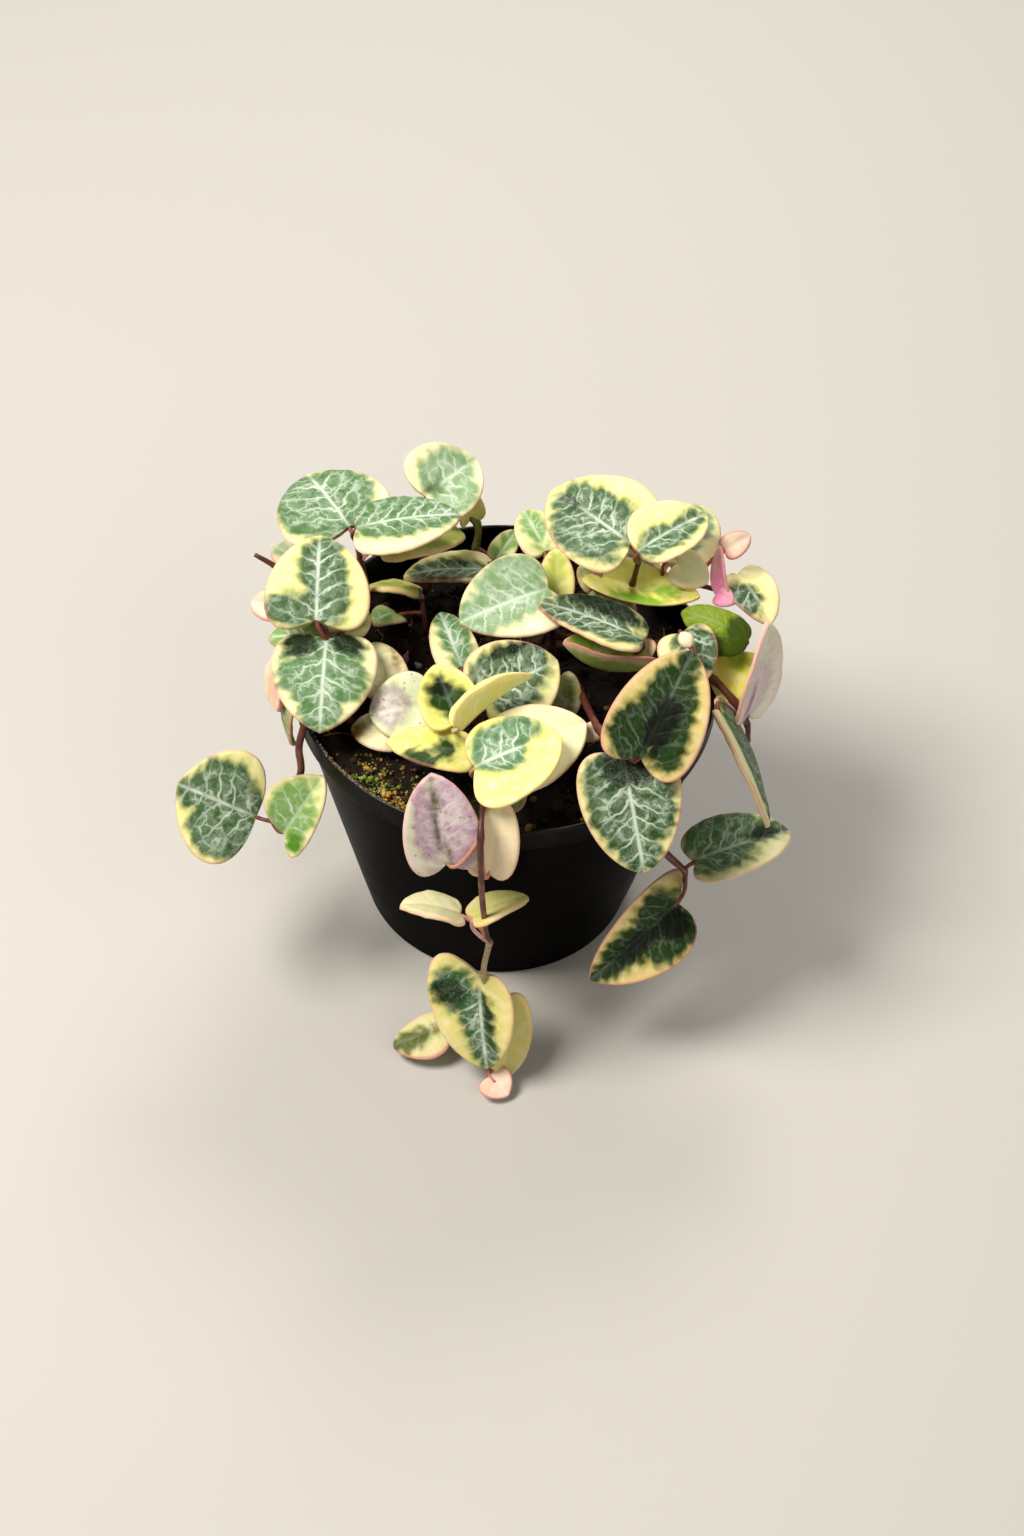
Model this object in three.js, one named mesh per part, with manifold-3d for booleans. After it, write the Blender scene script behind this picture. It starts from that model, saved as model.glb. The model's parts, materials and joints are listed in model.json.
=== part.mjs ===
// A variegated string of hearts (Ceropegia woodii) growing in its small black nursery pot.
// Millimetres, +Z up. The origin is the middle of the pot's underside.
//
// The pot and its soil are turned bodies. Every leafy stem is one grown body: a thin stem that
// follows a few hand-placed points, petioles that leave it at those points, and heart-shaped blades.
// Long stems climb over the rim and hang down; the front one ends on the surface beside the pot.

import * as THREE from 'three';
import { mergeVertices } from 'three/addons/utils/BufferGeometryUtils.js';
import Module from 'manifold-3d';

const wasm = await Module();
wasm.setup();

// ---- Driving dimensions ----

const POT_HEIGHT = 63;
const RIM_RADIUS = 42.5;
const RIM_BAND_HEIGHT = 5;
const RIM_BAND_STEP = 1; // the rim band stands this far out from the wall below it
const POT_BASE_RADIUS = 28.5;
const POT_WALL = 1.1;
const POT_FLOOR = 1.5;
const POT_EDGE_BEVEL = 0.6;
const POT_SIDES = 36;
const DRAIN_HOLES = 5;
const DRAIN_HOLE_RADIUS = 1.9;
const DRAIN_CIRCLE_RADIUS = 17;

const GAP = 0.35; // clearance between touching pieces
const SOIL_LEVEL = 57.2;
const SOIL_SIDES = 24;
const SOIL_RINGS = [13, 24, 33]; // radii of the rings of its uneven top, inside its edge

const STEM_RADIUS = 0.75;
const STEM_SIDES = 5;
const STEM_STEP = 6; // length of one straight piece of a stem
const ROOT_DEPTH = 7; // how deep a stem stands in the soil
const HOLE_CLEARANCE = 0.6; // round a stem in its hole
const PETIOLE_RADIUS = 0.5;
const PETIOLE_SIDES = 3;
const PETIOLE_STEPS = 2;
const PETIOLE_SINK = 1.6; // how far a petiole runs into its blade

const BLADE_HALF_THICKNESS = 0.55; // at the midrib
const BLADE_EDGE_HALF = 0.35;
const HALF_OUTLINE_STEPS = 7; // straight pieces from the notch to the tip, on each side
const SMALL_OUTLINE_STEPS = 4; // the same, on a leaf no wider than SMALL_WIDTH
const SMALL_WIDTH = 10;
const MIDRIB_STEPS = 3;
const APEX = 0.08; // how far the tip stands out of the rounded outline, as a share of the length

// ---- Materials ----

const blackPlastic = new THREE.MeshStandardMaterial({ color: '#141414', roughness: 0.45 });
const peat = new THREE.MeshStandardMaterial({ color: '#2a1d14', roughness: 1 });
const purpleShoot = new THREE.MeshStandardMaterial({ color: '#8d4a6d', roughness: 0.6 });

function leafMaterial(color) {
  return new THREE.MeshStandardMaterial({ color, roughness: 0.45, metalness: 0 });
}

// ---- Solids and meshes ----

function toSolid(geometry) {
  const bare = geometry.index ? geometry.toNonIndexed() : geometry.clone();
  bare.deleteAttribute('normal');
  bare.deleteAttribute('uv');
  const merged = mergeVertices(bare, 1e-4);
  return new wasm.Manifold(
    new wasm.Mesh({
      numProp: 3,
      vertProperties: new Float32Array(merged.attributes.position.array),
      triVerts: new Uint32Array(merged.index.array),
    })
  );
}

function toMesh(name, solid, material) {
  const { vertProperties, triVerts } = solid.getMesh();
  const geometry = new THREE.BufferGeometry();
  geometry.setAttribute('position', new THREE.BufferAttribute(new Float32Array(vertProperties), 3));
  geometry.setIndex(new THREE.BufferAttribute(new Uint32Array(triVerts), 1));
  const flat = geometry.toNonIndexed();
  flat.computeVertexNormals();
  const mesh = new THREE.Mesh(flat, material);
  mesh.name = name;
  return mesh;
}

function geometryFrom(points, triangles) {
  const geometry = new THREE.BufferGeometry();
  geometry.setAttribute('position', new THREE.Float32BufferAttribute(points.flat(), 3));
  geometry.setIndex(triangles.flat());
  return geometry;
}

const point = ([x, y, z]) => new THREE.Vector3(x, y, z);

// A round body from its profile of [radius, height] pairs, turned about the pot's axis.
function turned(profile, sides) {
  const lathe = new THREE.LatheGeometry(profile.map(([r, z]) => new THREE.Vector2(r, z)), sides);
  return lathe.rotateX(Math.PI / 2);
}

// A smooth curve whose evenly spaced points are the very points it was made through.
class JointedCurve extends THREE.CatmullRomCurve3 {
  getPointAt(share, target) {
    return this.getPoint(share, target);
  }

  getTangentAt(share, target) {
    return this.getTangent(share, target);
  }
}

function tube(path, radius, sides) {
  const section = new THREE.Shape();
  for (let i = 0; i < sides; i++) {
    const turn = (2 * Math.PI * i) / sides;
    section[i ? 'lineTo' : 'moveTo'](radius * Math.cos(turn), radius * Math.sin(turn));
  }
  section.closePath();
  const extrudePath = new JointedCurve(path);
  return new THREE.ExtrudeGeometry(section, { steps: path.length - 1, extrudePath, bevelEnabled: false });
}

// Points along a smooth curve through the given ones, which it keeps, about `step` apart.
function smoothPath(through, step) {
  const curve = new THREE.CatmullRomCurve3(through);
  const spans = through.length - 1;
  const path = [through[0]];
  for (let span = 0; span < spans; span++) {
    const pieces = Math.max(1, Math.round(through[span].distanceTo(through[span + 1]) / step));
    for (let i = 1; i <= pieces; i++) {
      path.push(curve.getPoint((span + i / pieces) / spans));
    }
  }
  return path;
}

// ---- Pot ----

const bandBottom = POT_HEIGHT - RIM_BAND_HEIGHT;
const wallTopRadius = RIM_RADIUS - RIM_BAND_STEP;
const innerBaseRadius = POT_BASE_RADIUS - POT_WALL;
const innerTopRadius = wallTopRadius - POT_WALL;

// Inner radius of the plain wall below the rim band.
function innerRadius(z) {
  return innerBaseRadius + ((innerTopRadius - innerBaseRadius) * (z - POT_FLOOR)) / (bandBottom - POT_FLOOR);
}

function makePot() {
  const profile = [
    [0, 0],
    [POT_BASE_RADIUS - POT_EDGE_BEVEL, 0],
    [POT_BASE_RADIUS, POT_EDGE_BEVEL * 2],
    [wallTopRadius, bandBottom],
    [RIM_RADIUS - POT_EDGE_BEVEL / 2, bandBottom + POT_EDGE_BEVEL],
    [RIM_RADIUS, POT_HEIGHT - POT_EDGE_BEVEL],
    [RIM_RADIUS - POT_EDGE_BEVEL / 2, POT_HEIGHT],
    [RIM_RADIUS - POT_WALL, POT_HEIGHT],
    [RIM_RADIUS - POT_WALL, bandBottom + 1],
    [innerTopRadius, bandBottom],
    [innerBaseRadius, POT_FLOOR],
    [0, POT_FLOOR],
  ];
  let pot = toSolid(turned(profile, POT_SIDES));
  for (let i = 0; i < DRAIN_HOLES; i++) {
    const turn = (2 * Math.PI * (i + 0.5)) / DRAIN_HOLES;
    const hole = new THREE.CylinderGeometry(DRAIN_HOLE_RADIUS, DRAIN_HOLE_RADIUS, POT_FLOOR * 3, 8);
    hole.rotateX(Math.PI / 2);
    hole.translate(DRAIN_CIRCLE_RADIUS * Math.cos(turn), DRAIN_CIRCLE_RADIUS * Math.sin(turn), 0);
    pot = pot.subtract(toSolid(hole));
  }
  return pot;
}

// ---- Soil ----

// Height of the uneven soil surface; it is banked up against the rim at the front left.
function soilHeight(x, y) {
  const lumps = 0.5 * Math.sin(x * 0.31 + 1) * Math.cos(y * 0.27) + 0.3 * Math.sin(x * 0.7 - y * 0.5);
  const bank = 2 * Math.exp(-((x + 24) ** 2 + (y + 28) ** 2) / 130);
  return SOIL_LEVEL + lumps + bank;
}

function makeSoil(strands) {
  const edgeRadius = innerRadius(bandBottom) - GAP * 2.5;
  const sideTop = bandBottom - 2;
  const floor = POT_FLOOR + GAP;
  const rings = [
    ...SOIL_RINGS.map((r) => [r, soilHeight]),
    [edgeRadius, soilHeight],
    [innerRadius(sideTop) - GAP * 1.4, () => sideTop],
    [innerRadius(floor) - GAP * 1.4, () => floor],
  ];
  const points = [[0, 0, soilHeight(0, 0)]];
  for (const [radius, height] of rings) {
    for (let i = 0; i < SOIL_SIDES; i++) {
      const turn = (2 * Math.PI * i) / SOIL_SIDES;
      const x = radius * Math.cos(turn);
      const y = radius * Math.sin(turn);
      points.push([x, y, height(x, y)]);
    }
  }
  const bottom = points.push([0, 0, floor]) - 1;
  const triangles = [];
  for (let i = 0; i < SOIL_SIDES; i++) {
    const next = (i + 1) % SOIL_SIDES;
    triangles.push([0, 1 + i, 1 + next]);
    for (let ring = 0; ring + 1 < rings.length; ring++) {
      const near = 1 + ring * SOIL_SIDES;
      const far = near + SOIL_SIDES;
      triangles.push([near + i, far + i, far + next], [near + i, far + next, near + next]);
    }
    const last = 1 + (rings.length - 1) * SOIL_SIDES;
    triangles.push([last + i, bottom, last + next]);
  }
  let soil = toSolid(geometryFrom(points, triangles));
  for (const { root, radius = STEM_RADIUS } of strands) {
    const sides = 6;
    const width = (radius + HOLE_CLEARANCE) / Math.cos(Math.PI / sides);
    const top = SOIL_LEVEL + 6;
    const foot = SOIL_LEVEL - ROOT_DEPTH - GAP;
    const hole = new THREE.CylinderGeometry(width, width, top - foot, sides);
    hole.rotateX(Math.PI / 2);
    hole.translate(root[0], root[1], (top + foot) / 2);
    soil = soil.subtract(toSolid(hole));
  }
  return soil;
}

// ---- Leaves ----

// A leaf joins its stem at the stem's point number `at`. Its blade runs from `base`, where the
// petiole meets it, to `tip`, with its upper side turned towards `face`. `cup` lifts the side edges,
// `bow` lifts the middle of the midrib, and `fold` is each half's rise about the midrib in degrees.
// `lean` makes the half on the left of someone looking from base to tip the larger one, and `tilt` its
// lobe the longer one.
function leaf(at, base, tip, face, width, form = {}) {
  const plain = { cup: 0, bow: 0.8, fold: 5, notch: 0.15, point: 0.28, lean: 0, tilt: 0 };
  return { ...plain, at, base, tip, face, width, ...form };
}

// Half of the heart's outline: how far along and how far across the blade it is, both 0 to 1, at a
// share of the way from the notch round to the tip. `side` is 1 for the left half, -1 for the right.
function outlineAt(share, side, { notch, point: sharpness, lean, tilt }) {
  const turn = Math.PI * share;
  const lobe = notch * (1 + (3 * lean + tilt) * side) * Math.sin(turn) * (1 + Math.cos(turn));
  const round = (1 - Math.cos(turn)) / 2 - lobe;
  const along = round + APEX * (share ** 4 - (1 - Math.cos(turn)) / 2);
  const across = (1 + lean * side) * Math.sin(turn) * (1 - sharpness * share * share);
  return [along, across / (1 - sharpness * 0.22)];
}

function bladeFrame({ base, tip, face }) {
  const start = point(base);
  const along = point(tip).sub(start);
  const length = along.length();
  along.divideScalar(length);
  const up = point(face);
  up.addScaledVector(along, -up.dot(along)).normalize();
  const across = up.clone().cross(along);
  return { start, along, up, across, length };
}

function makeBlade(form) {
  const { start, along, up, across, length } = bladeFrame(form);
  const fold = THREE.MathUtils.degToRad(form.fold);

  // A point on the blade, from its share of the length, its signed share of the half width and
  // its height off the blade's middle surface.
  function place(share, side, lift) {
    const reach = side * (form.width / 2);
    const rise = form.bow * 4 * share * (1 - share) + form.cup * side * side;
    const spot = start.clone().addScaledVector(along, share * length);
    spot.addScaledVector(across, reach * Math.cos(fold));
    spot.addScaledVector(up, rise + Math.abs(reach) * Math.sin(fold) + lift);
    return spot.toArray();
  }

  const points = [];
  const rim = []; // indices of the upper rim, from the notch up one side and back down the other
  const steps = form.width > SMALL_WIDTH ? HALF_OUTLINE_STEPS : SMALL_OUTLINE_STEPS;
  for (let i = 0; i < 2 * steps; i++) {
    const step = i <= steps ? i : 2 * steps - i;
    const side = i <= steps ? 1 : -1;
    const [share, width] = outlineAt(step / steps, side, form);
    rim.push(points.push(place(share, side * width, BLADE_EDGE_HALF)) - 1);
    points.push(place(share, side * width, -BLADE_EDGE_HALF));
  }
  const rib = [rim[0]];
  for (let i = 1; i < MIDRIB_STEPS; i++) {
    rib.push(points.push(place(i / MIDRIB_STEPS, 0, BLADE_HALF_THICKNESS)) - 1);
    points.push(place(i / MIDRIB_STEPS, 0, -BLADE_HALF_THICKNESS));
  }
  rib.push(rim[steps]);

  const upper = [];
  const ribStep = (i) => Math.min(MIDRIB_STEPS, Math.max(0, Math.floor((i * MIDRIB_STEPS) / steps + 0.5)));
  for (const half of [1, -1]) {
    const edge = (i) => rim[(half * i + 2 * steps) % (2 * steps)];
    const add = (a, b, c) => {
      if (a !== b && b !== c && a !== c) upper.push(half > 0 ? [a, c, b] : [a, b, c]);
    };
    for (let i = 0; i < steps; i++) {
      add(rib[ribStep(i)], edge(i), edge(i + 1));
      add(rib[ribStep(i)], edge(i + 1), rib[ribStep(i + 1)]);
    }
  }
  const lower = upper.map(([a, b, c]) => [a + 1, c + 1, b + 1]);
  const sides = rim.flatMap((a, i) => {
    const b = rim[(i + 1) % rim.length];
    return [
      [a, b, b + 1],
      [a, b + 1, a + 1],
    ];
  });
  return toSolid(geometryFrom(points, [...upper, ...lower, ...sides]));
}

function makePetiole(joint, form) {
  const { start, along } = bladeFrame(form);
  const reach = start.distanceTo(joint);
  const bend = start.clone().addScaledVector(along, -reach * 0.5);
  const end = start.clone().addScaledVector(along, PETIOLE_SINK);
  const inside = joint.clone().sub(bend).setLength(PETIOLE_RADIUS / 2);
  const from = joint.clone().add(inside);
  const curve = new THREE.QuadraticBezierCurve3(from, bend, end);
  return toSolid(tube(curve.getPoints(PETIOLE_STEPS), PETIOLE_RADIUS, PETIOLE_SIDES));
}

// ---- Leafy stems ----

// Each strand stands in the soil at `root` and climbs straight out of it. Its points are numbered
// from 0, after the two in the soil; a branch starts again at one of them, and its points carry on.
function stemPoints({ root, route }) {
  const [x, y] = root;
  const below = [
    [x, y, SOIL_LEVEL - ROOT_DEPTH],
    [x, y, SOIL_LEVEL + 1],
  ];
  return [...below, ...route].map(point);
}

function makeStrand(strand) {
  const radius = strand.radius ?? STEM_RADIUS;
  const runs = [stemPoints(strand)];
  const joints = strand.route.map(point);
  for (const branch of strand.branches ?? []) {
    const run = branch.route.map(point);
    runs.push([joints[branch.from], ...run]);
    joints.push(...run);
  }
  const pieces = runs.map((run) => toSolid(tube(smoothPath(run, STEM_STEP), radius, STEM_SIDES)));
  for (const form of strand.leaves ?? []) {
    pieces.push(makePetiole(joints[form.at], form));
    pieces.push(makeBlade(form));
  }
  const whole = pieces.reduce((sum, piece) => sum.add(piece));
  // Where two of its surfaces graze, the sum can shed a sliver, which is left out.
  return whole.decompose().sort((a, b) => b.volume() - a.volume())[0];
}

const strands = [
  {
    name: 'front_trail',
    color: '#d9dfa0',
    root: [1, -27],
    radius: 0.6,
    route: [
      [0, -31, 64.5],
      [-3.2, -41.5, 69.8],
      [-3.3, -47.5, 67.8],
      [-2.9, -49, 57],
      [-1.6, -48.5, 41],
      [-0.8, -48.5, 37],
      [-1.6, -48, 25],
      [1, -49.5, 16],
      [1, -52, 8],
    ],
    leaves: [
      leaf(0, [-5, -34, 72], [11, -26.5, 74], [0, -1, 9], 19.5, { lean: -0.15 }),
      leaf(0, [-2, -27.5, 68], [16, -19.5, 70], [0, -1, 3], 18, { lean: -0.15 }),
      leaf(0, [4, -31.5, 64.5], [3, -35, 60.5], [0, -1, 1], 3, { notch: 0 }),
      leaf(2, [-9.5, -47.2, 59.5], [-13, -41.2, 78], [0.2, -2, 1], 15.3, { fold: 12, point: 0, notch: 0.18 }),
      leaf(2, [-1.5, -46.4, 56], [0.5, -39.8, 70.5], [0, -2, 1], 10, { point: 0.15 }),
      leaf(5, [-7, -46, 42], [-18.5, -46.5, 44.5], [0, 1, 2], 13),
      leaf(5, [-4, -47, 42.5], [6.5, -42.5, 44], [0, 1, 2], 11),
      leaf(6, [-2.5, -47, 24], [0, -57, 6], [-1, -3, 2], 18, { fold: 8, notch: 0.18, lean: -0.2 }),
      leaf(7, [2, -47.5, 16.5], [4, -56, 1.8], [0.3, -1, 1], 12, { fold: 10 }),
      leaf(8, [0.5, -57, 3], [4.5, -60.5, 1.6], [0, -1, 2], 7.5, { cup: 1, bow: 0 }),
      leaf(8, [-10, -47.5, 6.5], [-19.5, -51, 3], [0, 0, 1], 11, { cup: -2, bow: 0 }),
    ],
  },
  {
    name: 'left_trail',
    color: '#cfd69c',
    root: [-29, -14],
    route: [
      [-33, -15.5, 66],
      [-37.5, -18.5, 67.5],
      [-39.8, -20.6, 61],
      [-39.6, -21.5, 54],
      [-41.5, -24.5, 49],
      [-45, -27, 45],
    ],
    leaves: [
      leaf(1, [-43, -9.5, 60], [-42, -11, 50], [-3, -1, 0], 8, { fold: 0 }),
      leaf(5, [-48.5, -25.5, 44.2], [-64, -23.5, 51], [0, -2, 3], 24, { fold: 10, notch: 0.04, lean: 0.05 }),
      leaf(5, [-42.5, -29, 43.8], [-34.8, -23.5, 55.2], [0, -2, 3], 13, { fold: 15, lean: 0.15, tilt: -1.4 }),
    ],
  },
  {
    name: 'left_top',
    color: '#b9c79a',
    root: [-29, -1],
    route: [
      [-31.5, -1.5, 66],
      [-34.5, -4, 73],
      [-38, 4, 72],
      [-43, 12, 72.5],
      [-47.5, 15.5, 74],
      [-51.5, 16.5, 76],
    ],
    leaves: [
      leaf(1, [-37.5, -3, 78], [-38, 13.5, 85], [0, -1, 3], 21, { cup: -1, notch: 0.18 }),
      leaf(1, [-35.5, -4.5, 74], [-35.5, -22.5, 67], [0, -1, 2], 21, { cup: -1.5, bow: 1.5 }),
      leaf(0, [-35, 0, 69], [-47.5, 0, 69], [0, 0, 1], 11),
      leaf(0, [-33, 1, 71], [-31, 8.5, 72.5], [0, 0, 1], 11),
      leaf(0, [-44, -2, 66], [-45, -9.5, 58], [-3, -1, 1], 12, { fold: 10 }),
      leaf(2, [-45.5, 5, 73], [-51.5, 7, 72], [-1, -1, 2], 7),
      leaf(3, [-43.5, 18, 73], [-48.5, 20.5, 74], [0, 0, 1], 8),
    ],
  },
  {
    name: 'back_left',
    color: '#a9bf9d',
    root: [-29, 19],
    route: [
      [-29.5, 19, 66],
      [-30.5, 20, 72],
      [-31.5, 20, 78],
    ],
    leaves: [
      leaf(2, [-33, 22.5, 79], [-42.5, 36, 80], [0, 0, 1], 25, { cup: -1, fold: 6, lean: 0.05 }),
      leaf(2, [-31, 18.5, 82.5], [-10.5, 22.5, 83.5], [0, 1, 5], 20, { cup: -1, notch: 0.1, lean: -0.1 }),
      leaf(1, [-25.5, 21, 76], [-9.5, 23.5, 77], [0, 1, 5], 16),
    ],
  },
  {
    name: 'back_upright',
    color: '#c4cf9f',
    root: [-8, 34],
    route: [
      [-7.5, 35, 63],
      [-7.5, 36, 69],
      [-13, 35, 74],
      [-17.5, 33, 78],
    ],
    leaves: [
      leaf(3, [-18, 32, 79.5], [-8, 40.5, 82.5], [0, -1, 2], 18.5, { fold: 15 }),
      leaf(1, [-9, 36, 70], [-10.5, 36, 80], [1, -2, 1], 7, { fold: 30 }),
      leaf(0, [-4.5, 25.5, 65.5], [-22, 22.5, 65.5], [0, 0.7, 2], 15, { fold: 8 }),
      leaf(0, [-3, 28, 66.5], [1, 33.5, 70], [0, -1, 2], 6, { fold: 20 }),
    ],
  },
  {
    name: 'small_inner',
    color: '#8da06a',
    root: [-17, 17],
    route: [
      [-17.5, 18, 60],
      [-18, 19.5, 62.5],
    ],
    leaves: [
      leaf(0, [-23, 17, 60], [-27.5, 13, 61], [0, 0.5, 2], 8),
      leaf(1, [-19, 22, 62], [-29.5, 22.5, 62], [0, 2, 3], 12, { fold: 0 }),
    ],
  },
  {
    name: 'right_top',
    color: '#dbe3a6',
    root: [23, 16],
    route: [
      [23.5, 16, 66],
      [24.5, 15.5, 73],
      [25.3, 14.8, 80.5],
    ],
    branches: [
      {
        from: 0,
        route: [
          [31, 17, 73],
          [37, 16, 74],
          [42, 14.5, 74],
        ],
      },
    ],
    leaves: [
      leaf(2, [23.5, 15.5, 84.5], [7.5, 29, 85.5], [0, -1, 3], 22.5, { cup: 1 }),
      leaf(2, [25, 13, 85], [38.5, 21.5, 88], [0, 0, 1], 16, { fold: 15, notch: 0.06 }),
      leaf(1, [17, 17, 74.5], [38, 10.5, 76], [0, -0.5, 3], 11, { fold: 15, bow: -2, cup: 1 }),
      leaf(1, [18, 18, 69.5], [25.5, 10.5, 67.5], [0, -1, 1], 9),
      leaf(1, [16.5, 14.5, 73], [14, 20, 74], [0, -1, 1], 4),
      leaf(3, [31, 18, 78.5], [39.5, 31.5, 80.5], [0, -1, 3], 16),
      leaf(3, [33, 16, 79.5], [39.5, 13, 77.5], [0, -1, 1], 8),
      leaf(5, [43, 12.5, 75], [41.5, 18, 83], [-1, -1, 1], 5, { fold: 40, point: 0.3 }),
      leaf(4, [42.5, 18, 82], [47.5, 20.5, 84], [0, -1, 1], 5.5),
      leaf(5, [45.5, 18, 75], [52.5, 8, 71.5], [1, -1, 2], 12, { fold: 10 }),
      leaf(5, [41.5, 12.5, 75], [45, 10, 75], [0, -1, 1], 4.5),
    ],
  },
  {
    name: 'right_side',
    color: '#c9d486',
    root: [32, -2],
    route: [
      [34, -2, 64],
      [37, -1.5, 68],
      [42, 0, 70.5],
      [45, 1, 71.5],
    ],
    branches: [
      {
        from: 1,
        route: [
          [41, -6, 69.5],
          [45, -9, 67],
          [48.2, -10.5, 62],
          [48.7, -11.5, 58],
        ],
      },
    ],
    leaves: [
      leaf(3, [47.5, 1, 74], [34, 5, 77], [0, 0, 1], 12, { cup: -2, notch: 0.06 }),
      leaf(3, [46.5, 1.5, 70], [43.5, -8, 65], [0, -1, 1], 12, { cup: -1 }),
      leaf(1, [34, -1, 77], [38.5, -9.5, 72], [0, -1, 1], 12, { cup: -1 }),
      leaf(1, [35.5, -7.5, 80], [33.5, -4.5, 81], [0, -1, 1], 3, { notch: 0 }),
      leaf(6, [48, -9.5, 64], [50.5, -1.5, 82], [2, -1, 1], 15, { fold: 10, notch: 0.18 }),
      leaf(6, [41.5, -17, 72], [53, -28.5, 52], [9, 1.2, 5], 15),
    ],
  },
  {
    name: 'right_front',
    color: '#93a86b',
    root: [11, 1],
    route: [
      [12.5, -1, 63],
      [14.5, -6, 65],
      [18.5, -20, 69],
      [22.5, -28, 71.5],
      [24.5, -31.5, 73.5],
    ],
    leaves: [
      leaf(4, [26, -33, 76], [35, -17, 89], [0, -1, 1], 19, { fold: 8, notch: 0.18 }),
      leaf(4, [23, -30.5, 73], [28, -46.5, 58], [0, -1, 1], 20),
      leaf(1, [12, -11, 64], [12.5, -3, 67], [0, -1, 2], 6),
      leaf(2, [18.5, -18, 67], [14.5, -19, 65], [0, -1, 1], 4),
    ],
  },
  {
    name: 'right_trail',
    color: '#8ea67a',
    root: [28, -14],
    route: [
      [29, -20, 65.5],
      [29, -29.5, 67],
      [29.8, -34, 61],
      [32, -35, 52],
      [37.2, -32.5, 42],
      [37.6, -31.5, 38],
    ],
    leaves: [
      leaf(4, [39.5, -29, 41], [58.5, -22, 43], [0, 0, 1], 16, { fold: 10, point: 0.05 }),
      leaf(5, [36.5, -33.5, 33], [19.5, -47, 24], [0, -1, 1], 16, { fold: 12, notch: 0.18, point: 0.45, lean: 0.15, tilt: -1 }),
    ],
  },
  {
    name: 'centre',
    color: '#c2cfa4',
    root: [9, 9],
    route: [
      [9, 8.5, 65],
      [8, 7.5, 73],
    ],
    branches: [
      {
        from: 0,
        route: [
          [17, 4, 68],
          [25, -0.5, 70],
        ],
      },
    ],
    leaves: [
      leaf(1, [7.5, 9.5, 77], [-9.5, -1.5, 77.5], [0, -1, 3], 19, { fold: 8 }),
      leaf(3, [26.5, -1, 74.5], [5.5, 5, 77.5], [0, 1, 4], 16, { notch: 0.08 }),
      leaf(3, [27, -3, 69], [11, -1.5, 74], [0, 1, 4], 15, { fold: 58, bow: -3 }),
    ],
  },
  {
    name: 'centre_back',
    color: '#c8d38e',
    root: [4, 22],
    route: [
      [4, 22.5, 63],
      [4, 23, 67],
    ],
    leaves: [
      leaf(1, [9.5, 13, 71], [9, 24.5, 74], [0, 0, 1], 7.5),
      leaf(1, [7, 27.5, 70], [2, 37, 72], [0, -1, 2], 10, { fold: 20 }),
    ],
  },
  {
    name: 'centre_front',
    color: '#dfe58f',
    root: [-4, -14],
    route: [
      [-4.5, -16.5, 65],
      [-9, -20.5, 68.5],
      [-8.5, -25, 66],
    ],
    branches: [
      {
        from: 0,
        route: [
          [-6, -8, 63],
          [-8.5, -2, 62.5],
        ],
      },
    ],
    leaves: [
      leaf(0, [-4, -15, 70.5], [10, -6.5, 73.5], [0, -1, 2], 19),
      leaf(4, [-9, -0.5, 64], [-14, 12.5, 66], [0, -1, 2], 9.5),
      leaf(1, [-9, -21.5, 71], [-14, -11.5, 76], [0, -1, 1], 12, { cup: 2, bow: 0 }),
      leaf(1, [-8, -25.5, 74], [5, -16, 79.5], [0, 1, 1], 10, { fold: 60 }),
      leaf(2, [-6.5, -26.5, 67], [-22.5, -25, 68], [0, -0.2, 2], 10.5),
    ],
  },
  {
    name: 'left_short',
    color: '#ddd6b4',
    root: [-19, -10],
    route: [
      [-19.3, -11, 61],
      [-19.5, -12, 63.5],
    ],
    leaves: [
      leaf(1, [-15, -13.5, 66], [-26.5, -16, 65.5], [0, -1, 2], 15),
      leaf(0, [-20.5, -18.5, 63], [-30, -16.5, 62], [0, -1, 3], 9),
      leaf(1, [-23, -10, 66], [-26.5, -0.5, 70], [0, -1, 2], 10),
    ],
  },
  {
    name: 'back_trail',
    color: '#b3c48f',
    root: [14, 31],
    route: [
      [14, 34, 65],
      [15.5, 41.5, 67.5],
      [16.5, 46, 63],
      [17, 47.5, 54],
      [17, 48, 44],
      [18, 49, 36],
    ],
    leaves: [
      leaf(3, [13, 49.5, 51], [-1, 51, 47], [0, 1, 1], 16),
      leaf(3, [21, 48.5, 51], [34, 44.5, 46], [1, 2, 1], 15),
      leaf(5, [14.5, 50.5, 34], [4, 51, 27], [0, 2, 1], 14),
      leaf(5, [22, 49, 33], [28, 47, 20], [1, 2, 1], 14, { point: 0.4 }),
    ],
  },
  {
    name: 'back_left_trail',
    color: '#aebf96',
    root: [-17, 28],
    route: [
      [-20, 32.5, 65],
      [-25, 37.5, 67.5],
      [-28, 40.5, 61],
      [-29, 42, 52],
      [-29.5, 43, 44],
    ],
    leaves: [
      leaf(3, [-25, 44.5, 49], [-12, 49, 45], [0, 1, 1], 15),
      leaf(3, [-33, 41, 49], [-42, 33.5, 43], [-2, 1, 2], 15),
      leaf(4, [-30, 44, 40], [-33, 44.5, 27], [-1, 2, 1], 13, { point: 0.4 }),
    ],
  },
];

// The young purple shoot, a short tapered bud that stands in the soil on its own.
const sprout = { name: 'sprout', root: [-21, 3.7], radius: 0.8, height: 63.5, lean: 1.2 };

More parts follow.
